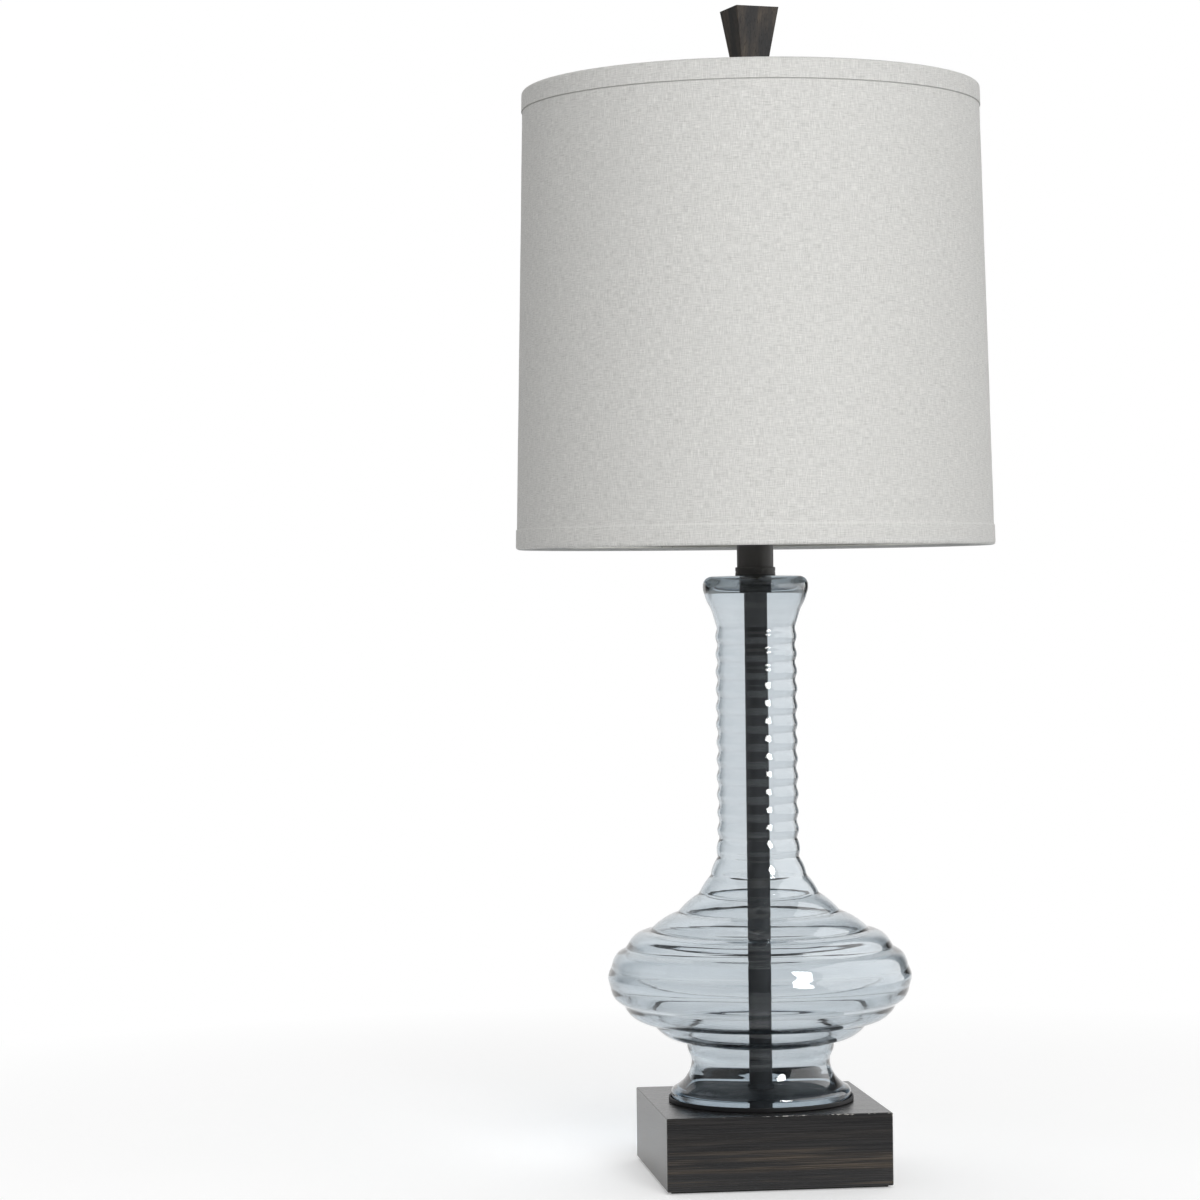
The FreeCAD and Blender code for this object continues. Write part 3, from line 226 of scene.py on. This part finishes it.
def weave(look):
    """The linen's colour and relief: uneven yarn both ways, small slubs and a few dark flecks."""
    x, y, up = look.split(look.place)
    girth = look.times(look.math("ARCTAN2", x, look.times(y, -1.0)), WEAVE_RADIUS)
    flat = look.joined(girth, up, 0.0)
    warp = look.noise((2100.0, 150.0, 1.0), 2.0, 0.6, at=flat)
    weft = look.noise((150.0, 2100.0, 1.0), 2.0, 0.6, at=flat)
    warp_slub = look.noise((1500.0, 90.0, 1.0), 1.0, at=flat)
    weft_slub = look.noise((90.0, 1500.0, 1.0), 1.0, at=flat)
    cloud = look.noise(12.0, at=flat)
    fleck = look.noise((900.0, 700.0, 1.0), 1.0, at=flat)
    yarn = look.plus(look.span(warp, 0.3, 0.7, -0.5, 0.5), look.span(weft, 0.3, 0.7, -0.5, 0.5))
    slub = look.minus(look.span(warp_slub, 0.62, 0.78), look.span(weft_slub, 0.62, 0.78))
    tone = look.times_plus(yarn, 0.62, look.times_plus(slub, 0.40, 0.5))
    pale = look.blend(tone, (0.50, 0.497, 0.480), (0.785, 0.780, 0.755))
    clouded = look.blend(look.span(cloud, 0.35, 0.65, 0.0, 0.10), pale, (0.60, 0.60, 0.585))
    flecked = look.blend(look.span(fleck, 0.81, 0.86, 0.0, 0.6), clouded, (0.24, 0.22, 0.19))
    threads = look.times(*(look.math("SINE", look.times(way, 2 * math.pi / THREAD_PITCH))
                           for way in (girth, up)))
    return yarn, flecked, look.times_plus(threads, 0.5, look.plus(yarn, slub))


def linen():
    """Pale grey linen, with a painted shadow line under the top trim, a painted highlight line over
    the bottom trim, and painted shade on the trims' inner hems."""
    look = Look("linen")
    yarn, colour, relief = weave(look)
    x, y, z = look.split(look.place)
    top_line, bottom_line = (SHADE_TOP - TRIM_WIDTH) * MM, (SHADE_BOTTOM + TRIM_WIDTH) * MM
    # Painted shadow: a dark line just under the top trim's lower edge.
    under = look.times(look.span(z, top_line - 0.0009, top_line - 0.0002),
                       look.math("LESS_THAN", z, top_line + 0.0001))
    # Painted highlight: a pale line just over the bottom trim's upper edge.
    over = look.times(look.span(z, bottom_line + 0.0009, bottom_line + 0.0003),
                      look.math("GREATER_THAN", z, bottom_line - 0.0007))
    colour = look.blend(look.times(under, 0.60), colour, (0.20, 0.20, 0.19))
    colour = look.blend(look.times(over, 0.35), colour, (0.82, 0.82, 0.80))
    # Painted shade: cloth lying more than about 1.3 mm in from the shade's outside, which is the
    # trims' inner hems, turns grey.
    wide = look.times_plus(look.minus(z, SHADE_BOTTOM * MM),
                           SHADE_TAPER / (SHADE_TOP - SHADE_BOTTOM), look.off_axis(x, y))
    colour = look.blend(look.span(wide, 0.1655, 0.1650, 0.0, 0.8), colour, (0.46, 0.47, 0.47))
    look.principled(Base_Color=colour, Roughness=look.span(yarn, -1.0, 1.0, 0.95, 0.80),
                    Sheen_Weight=0.15, Sheen_Roughness=0.5, Specular_IOR_Level=0.15,
                    Normal=look.bump(relief, 0.00010, 0.7))
    return look.material


def smoke_glass():
    """Clear smoke-grey glass, a little uneven as blown glass is, with painted shade on its slanting
    edges.
    """
    look = Look("smoke_glass")
    ripple = look.noise((18.0, 18.0, 60.0))
    streak = look.noise((2.5, 2.5, 330.0), 2.0, 0.6)
    slant = look.node("LayerWeight", {"Blend": 0.5}).outputs["Facing"]
    z = look.split(look.place)[2]
    rib = look.math("COSINE", look.times(look.minus(z, NECK_BOTTOM * MM),
                                         2 * math.pi / (NECK_PITCH * MM)))
    on_neck = look.times(look.span(z, 0.225, 0.245), look.span(z, 0.40, 0.385))
    band = look.times(look.times_plus(rib, 0.5, 0.5), on_neck)
    clear = look.blend(look.span(streak, 0.35, 0.65), (0.955, 0.965, 0.968), (0.995, 0.999, 1.0))
    clear = look.blend(look.times(band, 0.5), clear, (0.88, 0.89, 0.90))
    # Painted shade: the tint darkens where the glass is seen at a slant, drawing dark edges.
    tint = look.blend(look.span(slant, 0.62, 0.97), clear, (0.35, 0.37, 0.38))
    uneven = look.bump(look.times_plus(streak, 0.10, ripple), 0.0006, 0.25)
    glass = look.principled(Base_Color=tint, Roughness=0.0, IOR=1.5, Transmission_Weight=1.0,
                            Normal=uneven)
    shadow = look.node("BsdfTransparent", {"Color": (0.93, 0.94, 0.95)}).outputs[0]
    rays = look.node("LightPath").outputs
    look.surface(look.shader_mix(rays["Is Shadow Ray"], glass, shadow))
    smoke = look.node("VolumeAbsorption", {"Color": (0.14, 0.29, 0.40), "Density": 108.0})
    look.feed(look.output.inputs["Volume"], smoke.outputs[0])
    return look.material


def grain(look, fine_scale, band_scale):
    fine = look.noise(fine_scale, 3.0, 0.65)
    band = look.noise(band_scale, 3.0, 0.6, 0.3)
    pore = look.noise(tuple(2.2 * scale for scale in fine_scale), 1.0)
    return fine, band, pore


def stained(look, fine, pore, amount):
    """The stain's colour, with its brown by as much as amount says, and near-black pores."""
    share = look.span(fine, 0.35, 0.7)
    dark = look.blend(share, (0.011, 0.0112, 0.0125), (0.029, 0.0275, 0.027))
    brown = look.blend(share, (0.036, 0.028, 0.021), (0.130, 0.100, 0.072))
    colour = look.blend(amount, dark, brown)
    return look.blend(look.span(pore, 0.60, 0.68, 0.0, 0.7), colour, (0.006, 0.005, 0.005))


def worn_edges(look):
    """1 in a ragged line along the plinth's edges, widest at the top and to the right."""
    x, y, z = look.split(look.place)
    half, bottom, top = BASE_HALF * MM, BASE_BOTTOM * MM, BASE_TOP * MM
    near_x = look.minus(half, look.math("ABSOLUTE", x))
    near_y = look.minus(half, look.math("ABSOLUTE", y))
    near_z = look.least(look.minus(top, z), look.minus(z, bottom))
    nearest = look.least(near_x, look.least(near_y, near_z))
    farthest = look.most(near_x, look.most(near_y, near_z))
    total = look.plus(near_x, look.plus(near_y, near_z))
    from_edge = look.minus(total, look.plus(nearest, farthest))
    chip = look.noise(330.0, 4.0, 0.7)
    patch = look.noise(22.0, 1.0)
    handled = look.times(look.span(z, 0.030, top - 0.001, 0.25, 1.0),
                         look.span(x, -0.055, 0.0, 0.25, 1.0))
    reach = look.times(look.span(chip, 0.42, 0.78, 0.0, 0.0016),
                       look.times(look.span(patch, 0.40, 0.60, 0.25, 1.0), handled))
    return look.math("LESS_THAN", from_edge, look.plus(reach, 0.00006))


def base_wood():
    """Stained wood in satin lacquer, browner low down, with pale worn edges."""
    look = Look("stained_wood")
    fine, band, pore = grain(look, (11.0, 1100.0, 1500.0), (7.0, 160.0, 210.0))
    z = look.split(look.place)[2]
    amount = look.times(look.span(band, 0.46, 0.66), look.span(z, 0.036, 0.010, 0.10, 1.3))
    worn = worn_edges(look)
    colour = look.blend(look.times(worn, 0.85), stained(look, fine, pore, amount),
                        (0.44, 0.42, 0.39))
    rough = look.math("ADD", look.span(fine, 0.3, 0.7, 0.22, 0.32), look.times(worn, 0.3),
                      clamp=True)
    look.principled(Base_Color=colour, Roughness=rough, Specular_IOR_Level=0.5,
                    Normal=look.bump(look.plus(fine, pore), 0.00010, 0.3))
    return look.material


def finial_wood():
    """The same stain on upright grain, calmer and duller."""
    look = Look("finial_wood")
    fine, band, pore = grain(look, (900.0, 900.0, 14.0), (75.0, 75.0, 9.0))
    fine = look.times_plus(fine, 0.7, 0.23)
    colour = stained(look, fine, pore, look.span(band, 0.46, 0.66, 0.0, 0.55))
    look.principled(Base_Color=colour, Roughness=look.span(fine, 0.3, 0.7, 0.55, 0.70),
                    Specular_IOR_Level=0.25,
                    Normal=look.bump(look.plus(fine, pore), 0.00010, 0.3))
    return look.material


def metal(name, colour, roughness, metallic=1.0, brushing=(900.0, 900.0, 40.0), depth=0.00003,
          gloss=0.5):
    """Metal or paint on metal: fine brushing, clouded gloss and a faint skin."""
    look = Look(name)
    brushed = look.noise(brushing)
    cloud = look.noise(60.0, 3.0, 0.6)
    speck = look.noise(900.0, 2.0, 0.7)
    darker = tuple(0.72 * channel for channel in colour)
    rough = look.plus(look.span(cloud, 0.3, 0.7, roughness * 0.8, roughness * 1.2),
                      look.span(brushed, 0.3, 0.7, -0.04, 0.04))
    look.principled(Base_Color=look.blend(look.span(cloud, 0.3, 0.7), darker, colour),
                    Metallic=metallic, Roughness=rough, Specular_IOR_Level=gloss,
                    Normal=look.bump(look.plus(brushed, speck), depth, 0.5))
    return look.material


def plain(name, colour, roughness, scale=400.0, depth=0.00005, **more):
    """Moulded, felted or pressed stuff with a mottled colour and a fine skin."""
    look = Look(name)
    mottle = look.noise(scale, 3.0, 0.6)
    cloud = look.noise(scale / 12.0)
    darker = tuple(0.8 * channel for channel in colour)
    tone = look.times_plus(mottle, 0.6, look.times(cloud, 0.4))
    rough = look.span(mottle, 0.3, 0.7, roughness * 0.85, min(1.0, roughness * 1.1))
    look.principled(Base_Color=look.blend(look.span(tone, 0.35, 0.65), darker, colour),
                    Roughness=rough, Normal=look.bump(mottle, depth, 0.6), **more)
    return look.material


def frosted_glass():
    look = Look("frosted_glass")
    fine = look.noise(2500.0)
    haze = look.noise(30.0)
    look.principled(Base_Color=look.blend(haze, (0.86, 0.86, 0.84), (0.93, 0.93, 0.92)),
                    Roughness=look.span(fine, 0.3, 0.7, 0.38, 0.5),
                    Subsurface_Weight=0.3, Subsurface_Radius=(0.004, 0.004, 0.004),
                    Coat_Weight=0.6, Coat_Roughness=0.12,
                    Normal=look.bump(fine, 0.00003, 0.4))
    return look.material


LOOKS = {
    "felt": plain("felt", (0.020, 0.022, 0.020), 1.0, 900.0, 0.0003, Sheen_Weight=0.4),
    "stained_wood": base_wood(),
    "finial_wood": finial_wood(),
    "black_plastic": plain("black_plastic", (0.018, 0.018, 0.018), 0.45),
    "zinc_steel": metal("zinc_steel", (0.62, 0.62, 0.58), 0.34),
    "dark_metal": metal("dark_metal", (0.037, 0.037, 0.038), 0.60, 0.0, depth=0.00001,
                        gloss=0.10),
    "neck_metal": metal("neck_metal", (0.058, 0.055, 0.052), 0.45, 0.0, (420.0, 420.0, 6.0),
                        gloss=0.35),
    "black_metal": metal("black_metal", (0.012, 0.012, 0.013), 0.50, 0.0, gloss=0.2),
    "gasket_rubber": plain("gasket_rubber", (0.015, 0.015, 0.015), 0.7),
    "smoke_glass": smoke_glass(),
    "brass_plate": metal("brass_plate", (0.78, 0.60, 0.28), 0.24),
    "nickel_plate": metal("nickel_plate", (0.66, 0.64, 0.60), 0.22),
    "insulating_paper": plain("insulating_paper", (0.17, 0.13, 0.09), 0.85, 500.0),
    "phenolic": plain("phenolic", (0.03, 0.022, 0.018), 0.4),
    "frosted_glass": frosted_glass(),
    "linen": linen(),
    "styrene": plain("styrene", (0.80, 0.79, 0.76), 0.45, 250.0),
}
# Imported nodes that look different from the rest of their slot.
NODE_LOOKS = {"finial_block": "finial_wood", "neck_tube": "neck_metal",
              "neck_flange": "neck_metal"}


def dress_nodes():
    """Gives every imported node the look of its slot, which its mesh's material is named after."""
    for name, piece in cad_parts.items():
        slot = piece.data.materials[0].name.split(".")[0]
        piece.data.materials.clear()
        piece.data.materials.append(LOOKS[NODE_LOOKS.get(name, slot)])


# ---------------------------------------------------------------- turned pieces
SHARP_BEND = math.radians(22)


class Turned:
    """Closed half section, drawn from point to point in millimetres, then turned into a mesh."""

    def __init__(self, radius, height):
        self.points = [(radius, height)]

    def line(self, radius, height):
        self.points.append((radius, height))
        return self

    def bulge(self, radius, height, rise, steps=10):
        """Arc whose middle stands off its chord by rise, to the right of the way it runs."""
        r0, z0 = self.points[-1]
        dr, dz = radius - r0, height - z0
        chord = math.hypot(dr, dz)
        right = (dz / chord, -dr / chord)
        half = 2.0 * math.atan2(abs(rise), chord / 2)
        arc_radius = chord / (2.0 * math.sin(half))
        way = math.copysign(1.0, rise)
        for k in range(1, steps):
            turn = -half + 2.0 * half * k / steps
            along = 0.5 + arc_radius * math.sin(turn) / chord
            off = way * (arc_radius * math.cos(turn) - arc_radius * math.cos(half))
            self.points.append((r0 + dr * along + right[0] * off,
                                z0 + dz * along + right[1] * off))
        return self.line(radius, height)

    def curve(self, points, steps):
        """Smooth run through the points."""
        knots = [self.points[-1], *points]
        for k in range(len(knots) - 1):
            before, here, there = knots[max(k - 1, 0)], knots[k], knots[k + 1]
            after = knots[min(k + 2, len(knots) - 1)]
            for step in range(1, steps + 1):
                t = step / steps
                self.points.append(tuple(
                    0.5 * (2 * b + (c - a) * t + (2 * a - 5 * b + 4 * c - d) * t ** 2
                           + (3 * b - a - 3 * c + d) * t ** 3)
                    for a, b, c, d in zip(before, here, there, after)))
        return self

    def mesh(self, name, segments, wobble):
        """Mesh of the section, each point moved by wobble. Corners are sharp, arcs are smooth."""
        outline = [p for k, p in enumerate(self.points)
                   if math.dist(p, self.points[k - 1]) > 1e-4]
        made = bmesh.new()
        rings = []
        for radius, height in outline:
            ring = []
            for j in range(segments):
                turn = 2 * math.pi * j / segments
                r, z = wobble(radius, height, turn)
                ring.append(made.verts.new((r * math.sin(turn) * MM, -r * math.cos(turn) * MM,
                                            z * MM)))
            rings.append(ring)
        count = len(rings)
        for i in range(count):
            a, b = rings[i], rings[(i + 1) % count]
            for j in range(segments):
                n = (j + 1) % segments
                made.faces.new((a[j], a[n], b[n], b[j])).smooth = True
        for i in range(count):
            before, here, after = outline[i - 1], outline[i], outline[(i + 1) % count]
            first = math.atan2(here[1] - before[1], here[0] - before[0])
            second = math.atan2(after[1] - here[1], after[0] - here[0])
            bend = abs((second - first + math.pi) % (2 * math.pi) - math.pi)
            if bend > SHARP_BEND:
                for j in range(segments):
                    made.edges.get((rings[i][j], rings[i][(j + 1) % segments])).smooth = False
        bmesh.ops.remove_doubles(made, verts=made.verts, dist=1e-7)
        bmesh.ops.recalc_face_normals(made, faces=made.faces)
        return to_data(made, name)


def to_data(made, name):
    data = bpy.data.meshes.new(name)
    made.to_mesh(data)
    made.free()
    return data


def add_piece(data, look, body, node):
    """Links a piece, dresses it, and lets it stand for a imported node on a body."""
    piece = bpy.data.objects.new(data.name, data)
    bpy.context.scene.collection.objects.link(piece)
    data.materials.append(LOOKS[look])
    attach(piece, body)
    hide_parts(node)
    return piece


# ---------------------------------------------------------------- glass bottle
def level_in(table, height):
    """What a table gives for a height, in a straight line between its rows."""
    value = table[0][1]
    for (low, first), (high, second) in zip(table, table[1:]):
        if height > low:
            value = first + (second - first) * min(1.0, (height - low) / (high - low))
    return value


def eased(points, table):
    """The run with its corners eased by as much as the table gives for a height."""
    soft = []
    for here in points:
        width = level_in(table, here[1])
        total, r, z = 0.0, 0.0, 0.0
        for other in points:
            gap = math.dist(here, other)
            if gap < 3 * width:
                weight = math.exp(-0.5 * (gap / width) ** 2)
                total, r, z = total + weight, r + weight * other[0], z + weight * other[1]
        soft.append((r / total, z / total))
    soft[0], soft[-1] = points[0], points[-1]
    return soft


def parallel(points, walls):
    """The run moved in towards the axis by as much as the table gives for a height."""
    moved = []
    for k, (radius, height) in enumerate(points):
        depth = level_in(walls, height)
        r0, z0 = points[max(k - 1, 0)]
        r1, z1 = points[min(k + 1, len(points) - 1)]
        run = math.hypot(r1 - r0, z1 - z0)
        moved.append((radius - depth * (z1 - z0) / run, height + depth * (r1 - r0) / run))
    return moved


def glass_section():
    glass = Turned(FOOT_INNER, FOOT_BOTTOM)
    glass.line(FOOT_RADIUS - 1.0, FOOT_BOTTOM).bulge(FOOT_RADIUS, FOOT_BOTTOM + 1.0, 0.3, 4)
    for height in FOOT_EDGE:
        glass.line(FOOT_RADIUS, height)
    glass.bulge(*FOOT_SHOULDER, 0.25, 4)
    start = len(glass.points) - 1
    glass.bulge(BULB_CREASES[0][0], WAIST, -FOOT_HOLLOW, 20)
    ends = [radius for radius, _ in BULB_CREASES[1:]] + [NECK_RADIUS]
    for k, (_, rise) in enumerate(BULB_CREASES):
        glass.bulge(ends[k], WAIST + (k + 1) * BULB_PITCH, rise, 14)
    for k in range(NECK_RIBS):
        for step in range(1, 13):
            share = step / 12
            lift = 0.5 - 0.5 * math.cos(2 * math.pi * share)
            glass.line(NECK_RADIUS + NECK_DEPTH * lift, NECK_BOTTOM + (k + share) * NECK_PITCH)
    glass.curve((*NECK_FLARE, (LIP_RADIUS + 0.5, LIP_BOTTOM)), 7)
    run = eased(glass.points[start:], OUTER_EASE)
    glass.points[start:] = run
    glass.bulge(*LIP_BELLY, 0.25, 5)
    glass.bulge(LIP_SHOULDER_RADIUS, GLASS_TOP - 0.5, 2.0, 10)
    glass.line(LIP_FLAT_RADIUS, GLASS_TOP).line(MOUTH_RADIUS, GLASS_TOP)
    roof = GLASS_TOP - MOUTH_DEPTH
    inside = [point for point in eased(parallel(run, GLASS_WALLS), INNER_EASE)[::-1]
              if FOOT_INNER_TOP < point[1] < INNER_TOP]
    glass.line(MOUTH_RADIUS, roof).line(inside[0][0] - MOUTH_ROUND, roof)
    glass.bulge(*inside[0], -2.2, 10)
    glass.points += inside
    glass.curve(((50.9, 64.0), (55.2, 57.0)), 6)
    return glass.line(FOOT_INNER, FOOT_BOTTOM)


def blown(radius, height, turn):
    """Slight unevenness of hand-made glass, none where it is seated."""
    free = min(1.0, max(0.0, (height - 62.0) / 20.0), max(0.0, (400.0 - height) / 20.0))
    at = Vector((math.sin(turn) * 1.3, math.cos(turn) * 1.3, height / 22.0))
    return radius + 0.22 * free * noise.noise(at), height + 0.18 * free * noise.noise(at * 1.7)


def make_glass():
    data = glass_section().mesh("glass_bottle", 224, blown)
    add_piece(data, "smoke_glass", "lamp", "glass_body")
    # The face that stands on the gasket shows it through the glass.
    data.materials.append(LOOKS["gasket_rubber"])
    for face in data.polygons:
        if face.center.z < (FOOT_BOTTOM + 0.02) * MM:
            face.material_index = 1


# ---------------------------------------------------------------- shade
def shade_radius(height, inset):
    share = (height - SHADE_BOTTOM) / (SHADE_TOP - SHADE_BOTTOM)
    return SHADE_BOTTOM_RADIUS - SHADE_TAPER * share - inset


def cloth(radius, height, turn):
    """Faint unevenness of cloth on its backing."""
    at = Vector((math.sin(turn) * 4.0, math.cos(turn) * 4.0, height / 45.0))
    return radius + 0.12 * noise.noise(at), height


def add_linen(section, name, node):
    return add_piece(section.mesh(name, 256, cloth), "linen", "shade", node)


def make_shade():
    """The linen drum, and the folded trims at its ends."""
    drum = Turned(shade_radius(CLOTH_BOTTOM, CLOTH_HEM), CLOTH_BOTTOM)
    levels = [CLOTH_BOTTOM + CLOTH_HEIGHT * k / 48 for k in range(49)]
    for height in levels:
        drum.line(shade_radius(height, CLOTH_OUTER), height)
    for height in reversed(levels):
        drum.line(shade_radius(height, CLOTH_INNER), height)
    return (add_linen(drum, "linen_drum", "shade_fabric"),
            [add_linen(trim_section(SHADE_TOP, -1), "trim_fold_top", "shade_trim_top"),
             add_linen(trim_section(SHADE_BOTTOM, 1), "trim_fold_bottom", "shade_trim_bottom")])


def trim_section(end, way):
    """A strip folded round the shade's end, way being 1 where the shade is above its end."""
    fold, past = end + way * TRIM_FOLD, end + way * (TRIM_FOLD + 1.5)
    band, hem = end + way * TRIM_WIDTH, end + way * TRIM_HEM
    depth, inner = 2 * TRIM_FOLD, TRIM_FOLD - TRIM_THICKNESS

    def at(height, inset):
        return shade_radius(height, inset), height

    section = Turned(*at(band - way * 0.25, -0.02))
    for k in range(1, 7):
        section.line(*at(band + (fold - band) * k / 6, 0))
    for k in range(1, 13):
        turn = math.pi * k / 12
        section.line(*at(fold - way * TRIM_FOLD * math.sin(turn),
                         TRIM_FOLD * (1 - math.cos(turn))))
    section.line(*at(past, depth)).line(*at(hem, WALL_DEPTH + TRIM_THICKNESS))
    section.line(*at(band, WALL_DEPTH + TRIM_THICKNESS)).line(*at(band, WALL_DEPTH))
    section.line(*at(hem - way * TRIM_THICKNESS, WALL_DEPTH))
    section.line(*at(past, depth - TRIM_THICKNESS))
    for k in range(13):
        turn = math.pi * k / 12
        section.line(*at(fold - way * inner * math.sin(turn),
                         TRIM_FOLD + inner * math.cos(turn)))
    return section.line(*at(band, TRIM_THICKNESS)).line(*at(band, 0.15))


# ---------------------------------------------------------------- pieces of two grids
def closed_piece(sheets, look, body, name, node):
    """A piece closed round two grids of points, which face away from each other."""
    made = bmesh.new()
    upper, lower = ([[made.verts.new(Vector(point) * MM) for point in row] for row in sheet]
                    for sheet in sheets)
    rows, columns = len(upper) - 1, len(upper[0]) - 1
    for i in range(rows):
        for j in range(columns):
            made.faces.new((upper[i][j + 1], upper[i][j], upper[i + 1][j], upper[i + 1][j + 1]))
            made.faces.new((lower[i][j], lower[i][j + 1], lower[i + 1][j + 1], lower[i + 1][j]))
        for j in (0, columns):
            made.faces.new((upper[i][j], lower[i][j], lower[i + 1][j], upper[i + 1][j]))
    for j in range(columns):
        for i in (0, rows):
            made.faces.new((upper[i][j], upper[i][j + 1], lower[i][j + 1], lower[i][j]))
    bmesh.ops.recalc_face_normals(made, faces=made.faces)
    for face in made.faces:
        face.smooth = True
    for edge in made.edges:
        edge.smooth = edge.calc_face_angle(0.0) < math.radians(40)
    return add_piece(to_data(made, name), look, body, node)


def make_seam():
    """The cloth's lap up the back, a narrow strip with both its edges turned under."""
    def point(share, height, outside):
        puff = 0.12 * math.exp(-((abs(share) - 0.8) / 0.14) ** 2)
        waver = 0.12 * noise.noise(Vector((share * 2.0, height / 9.0, 0.0)))
        inset = 0.30 * abs(share) ** 6 + 0.26 - puff if outside else SEAM_INNER
        radius = shade_radius(height, inset)
        turn = (SEAM_HALF * share + waver) / radius
        return radius * math.sin(turn), radius * math.cos(turn), height

    sheets = [[[point(2.0 * j / 16 - 1.0, SEAM_BOTTOM + SEAM_HEIGHT * i / 60, outside)
                for j in range(17)] for i in range(61)] for outside in (True, False)]
    return closed_piece(sheets, "linen", "shade", "seam_lap", "shade_seam")


def make_felt():
    """The felt under the plinth, a little uneven, its edges fuzzed over."""
    def point(x, y, top):
        edge = FELT_HALF - max(abs(x), abs(y))
        dent = 0.10 * (0.5 + 0.5 * noise.noise(Vector((x, y, 5.0 * top)) / 7.0))
        dent += 0.35 * math.exp(-edge / 0.6)
        pulled = 1.0 - 0.003 * (0.5 + 0.5 * noise.noise(Vector((x, y, 3.0)) / 5.0))
        return x * pulled, y * pulled, FELT_THICK - dent * 0.3 if top else dent

    lines = [FELT_HALF * (2.0 * k / 60 - 1.0) for k in range(61)]
    sheets = [[[point(x, y, top) for y in lines] for x in lines] for top in (True, False)]
    return closed_piece(sheets, "felt", "lamp", "felt_sheet", "felt_pad")


# ---------------------------------------------------------------- stage and light
FLOOR_RADIUS = 2.2
# Angles off the backdrop's middle, in radians, and levels: the room that lights the lamp, and what
# is seen in it or through it, a white backdrop between dark flags.
BACKDROP_EDGE = (0.55, 1.45)
FLAG_EDGES = (0.42, 0.64, 0.90, 1.15)
CAMERA_SIDE = (2.2, 2.7)
ROOM_LEVEL, ROOM_LEFT = 0.33, 0.08
FLAG_LEVEL, SIDE_LEVEL, CAMERA_LEVEL = 0.10, 0.55, 0.10


def make_stage():
    """Pale floor that keeps the shadow near the lamp, fades to white, and mirrors dark in front."""
    look = Look("floor")
    x, y = look.split(look.place)[:2]
    rays = look.node("LightPath").outputs
    in_front = look.times(rays["Is Glossy Ray"], look.span(y, -0.1, -0.4))
    behind = look.times(rays["Is Glossy Ray"], look.span(y, -0.4, 0.1))
    pale = look.blend(look.noise(6.0), gray(0.84), gray(0.86))
    shaded = look.node("BsdfDiffuse", {"Color": look.blend(in_front, pale, gray(0.16))})
    lift = look.node("Emission", {"Color": gray(1.0), "Strength": 0.30})
    lifted = look.node("AddShader", {0: shaded.outputs[0], 1: lift.outputs[0]}).outputs[0]
    white = look.node("Emission", {"Color": gray(1.0), "Strength": 1.0}).outputs[0]
    bright = look.shader_mix(look.span(look.off_axis(x, y), 0.30, 1.0), lifted, white)
    seen = look.most(rays["Is Camera Ray"], look.most(behind, rays["Is Transmission Ray"]))
    look.surface(look.shader_mix(seen, shaded.outputs[0], bright))
    made = bmesh.new()
    bmesh.ops.create_circle(made, cap_ends=True, segments=96, radius=FLOOR_RADIUS)
    data = to_data(made, "floor")
    data.materials.append(look.material)
    floor = bpy.data.objects.new("floor", data)
    floor.location.z = -0.0002
    bpy.context.scene.collection.objects.link(floor)


def make_world():
    """White backdrop behind and beside the lamp, a dimmer room on the camera's side."""
    world = bpy.data.worlds.new("studio")
    bpy.context.scene.world = world
    world.use_nodes = True
    sky = Nodes(world.node_tree)
    x, y = sky.split(sky.node("TexCoord").outputs["Generated"])[:2]
    off = sky.math("ABSOLUTE", sky.math("ARCTAN2", x, y))
    left = sky.times(sky.least(x, 0.0), -ROOM_LEFT)
    room = sky.plus(sky.span(off, *BACKDROP_EDGE, 1.0, ROOM_LEVEL), left)
    flags = sky.plus(sky.span(off, *FLAG_EDGES[:2], 1.0, FLAG_LEVEL),
                     sky.span(off, *FLAG_EDGES[2:], 0.0, SIDE_LEVEL - FLAG_LEVEL))
    mirrored = sky.plus(flags, sky.span(off, *CAMERA_SIDE, 0.0, CAMERA_LEVEL - SIDE_LEVEL))
    rays = sky.node("LightPath").outputs
    clear = sky.most(rays["Is Glossy Ray"], rays["Is Transmission Ray"])
    level = sky.most(sky.between(clear, room, mirrored), rays["Is Camera Ray"])
    backdrop = sky.node("Background", {"Color": gray(1.0), "Strength": level})
    sky.node("OutputWorld", {"Surface": backdrop.outputs[0]})


def area_light(name, place, target, size, watts, diffuse=True, glossy=True, shape="RECTANGLE"):
    data = bpy.data.lights.new(name, "AREA")
    data.shape = shape
    data.size, data.size_y = size
    data.energy = watts
    lamp = bpy.data.objects.new(name, data)
    lamp.location = place
    lamp.rotation_mode = "QUATERNION"
    lamp.rotation_quaternion = (Vector(target) - Vector(place)).to_track_quat("-Z", "Y")
    lamp.visible_diffuse = diffuse
    lamp.visible_glossy = glossy
    lamp.visible_transmission = False
    lamp.visible_camera = False
    bpy.context.scene.collection.objects.link(lamp)


def make_lights():
    """A soft key light, and two lights that only reflections show: the row of spots on the glass,
    and the brighter right side of its neck."""
    area_light("key", (0.30, -2.7, 1.5), (0, 0, 0.5), (1.3, 1.3), 50.0, glossy=False)
    area_light("softbox", (0.83, -1.70, 1.30), (0, 0, 0.27), (0.54, 1.15), 40.0, diffuse=False,
               shape="ELLIPSE")
    area_light("panel", (1.75, -0.15, 1.1), (0, 0, 1.0), (3.4, 4.0), 90.0, diffuse=False)


# ---------------------------------------------------------------- the scene
bpy.context.scene.view_settings.view_transform = "Standard"
make_camera()
dress_nodes()
make_glass()
drum, folds = make_shade()
make_seam()
make_felt()
make_stage()
make_world()
make_lights()
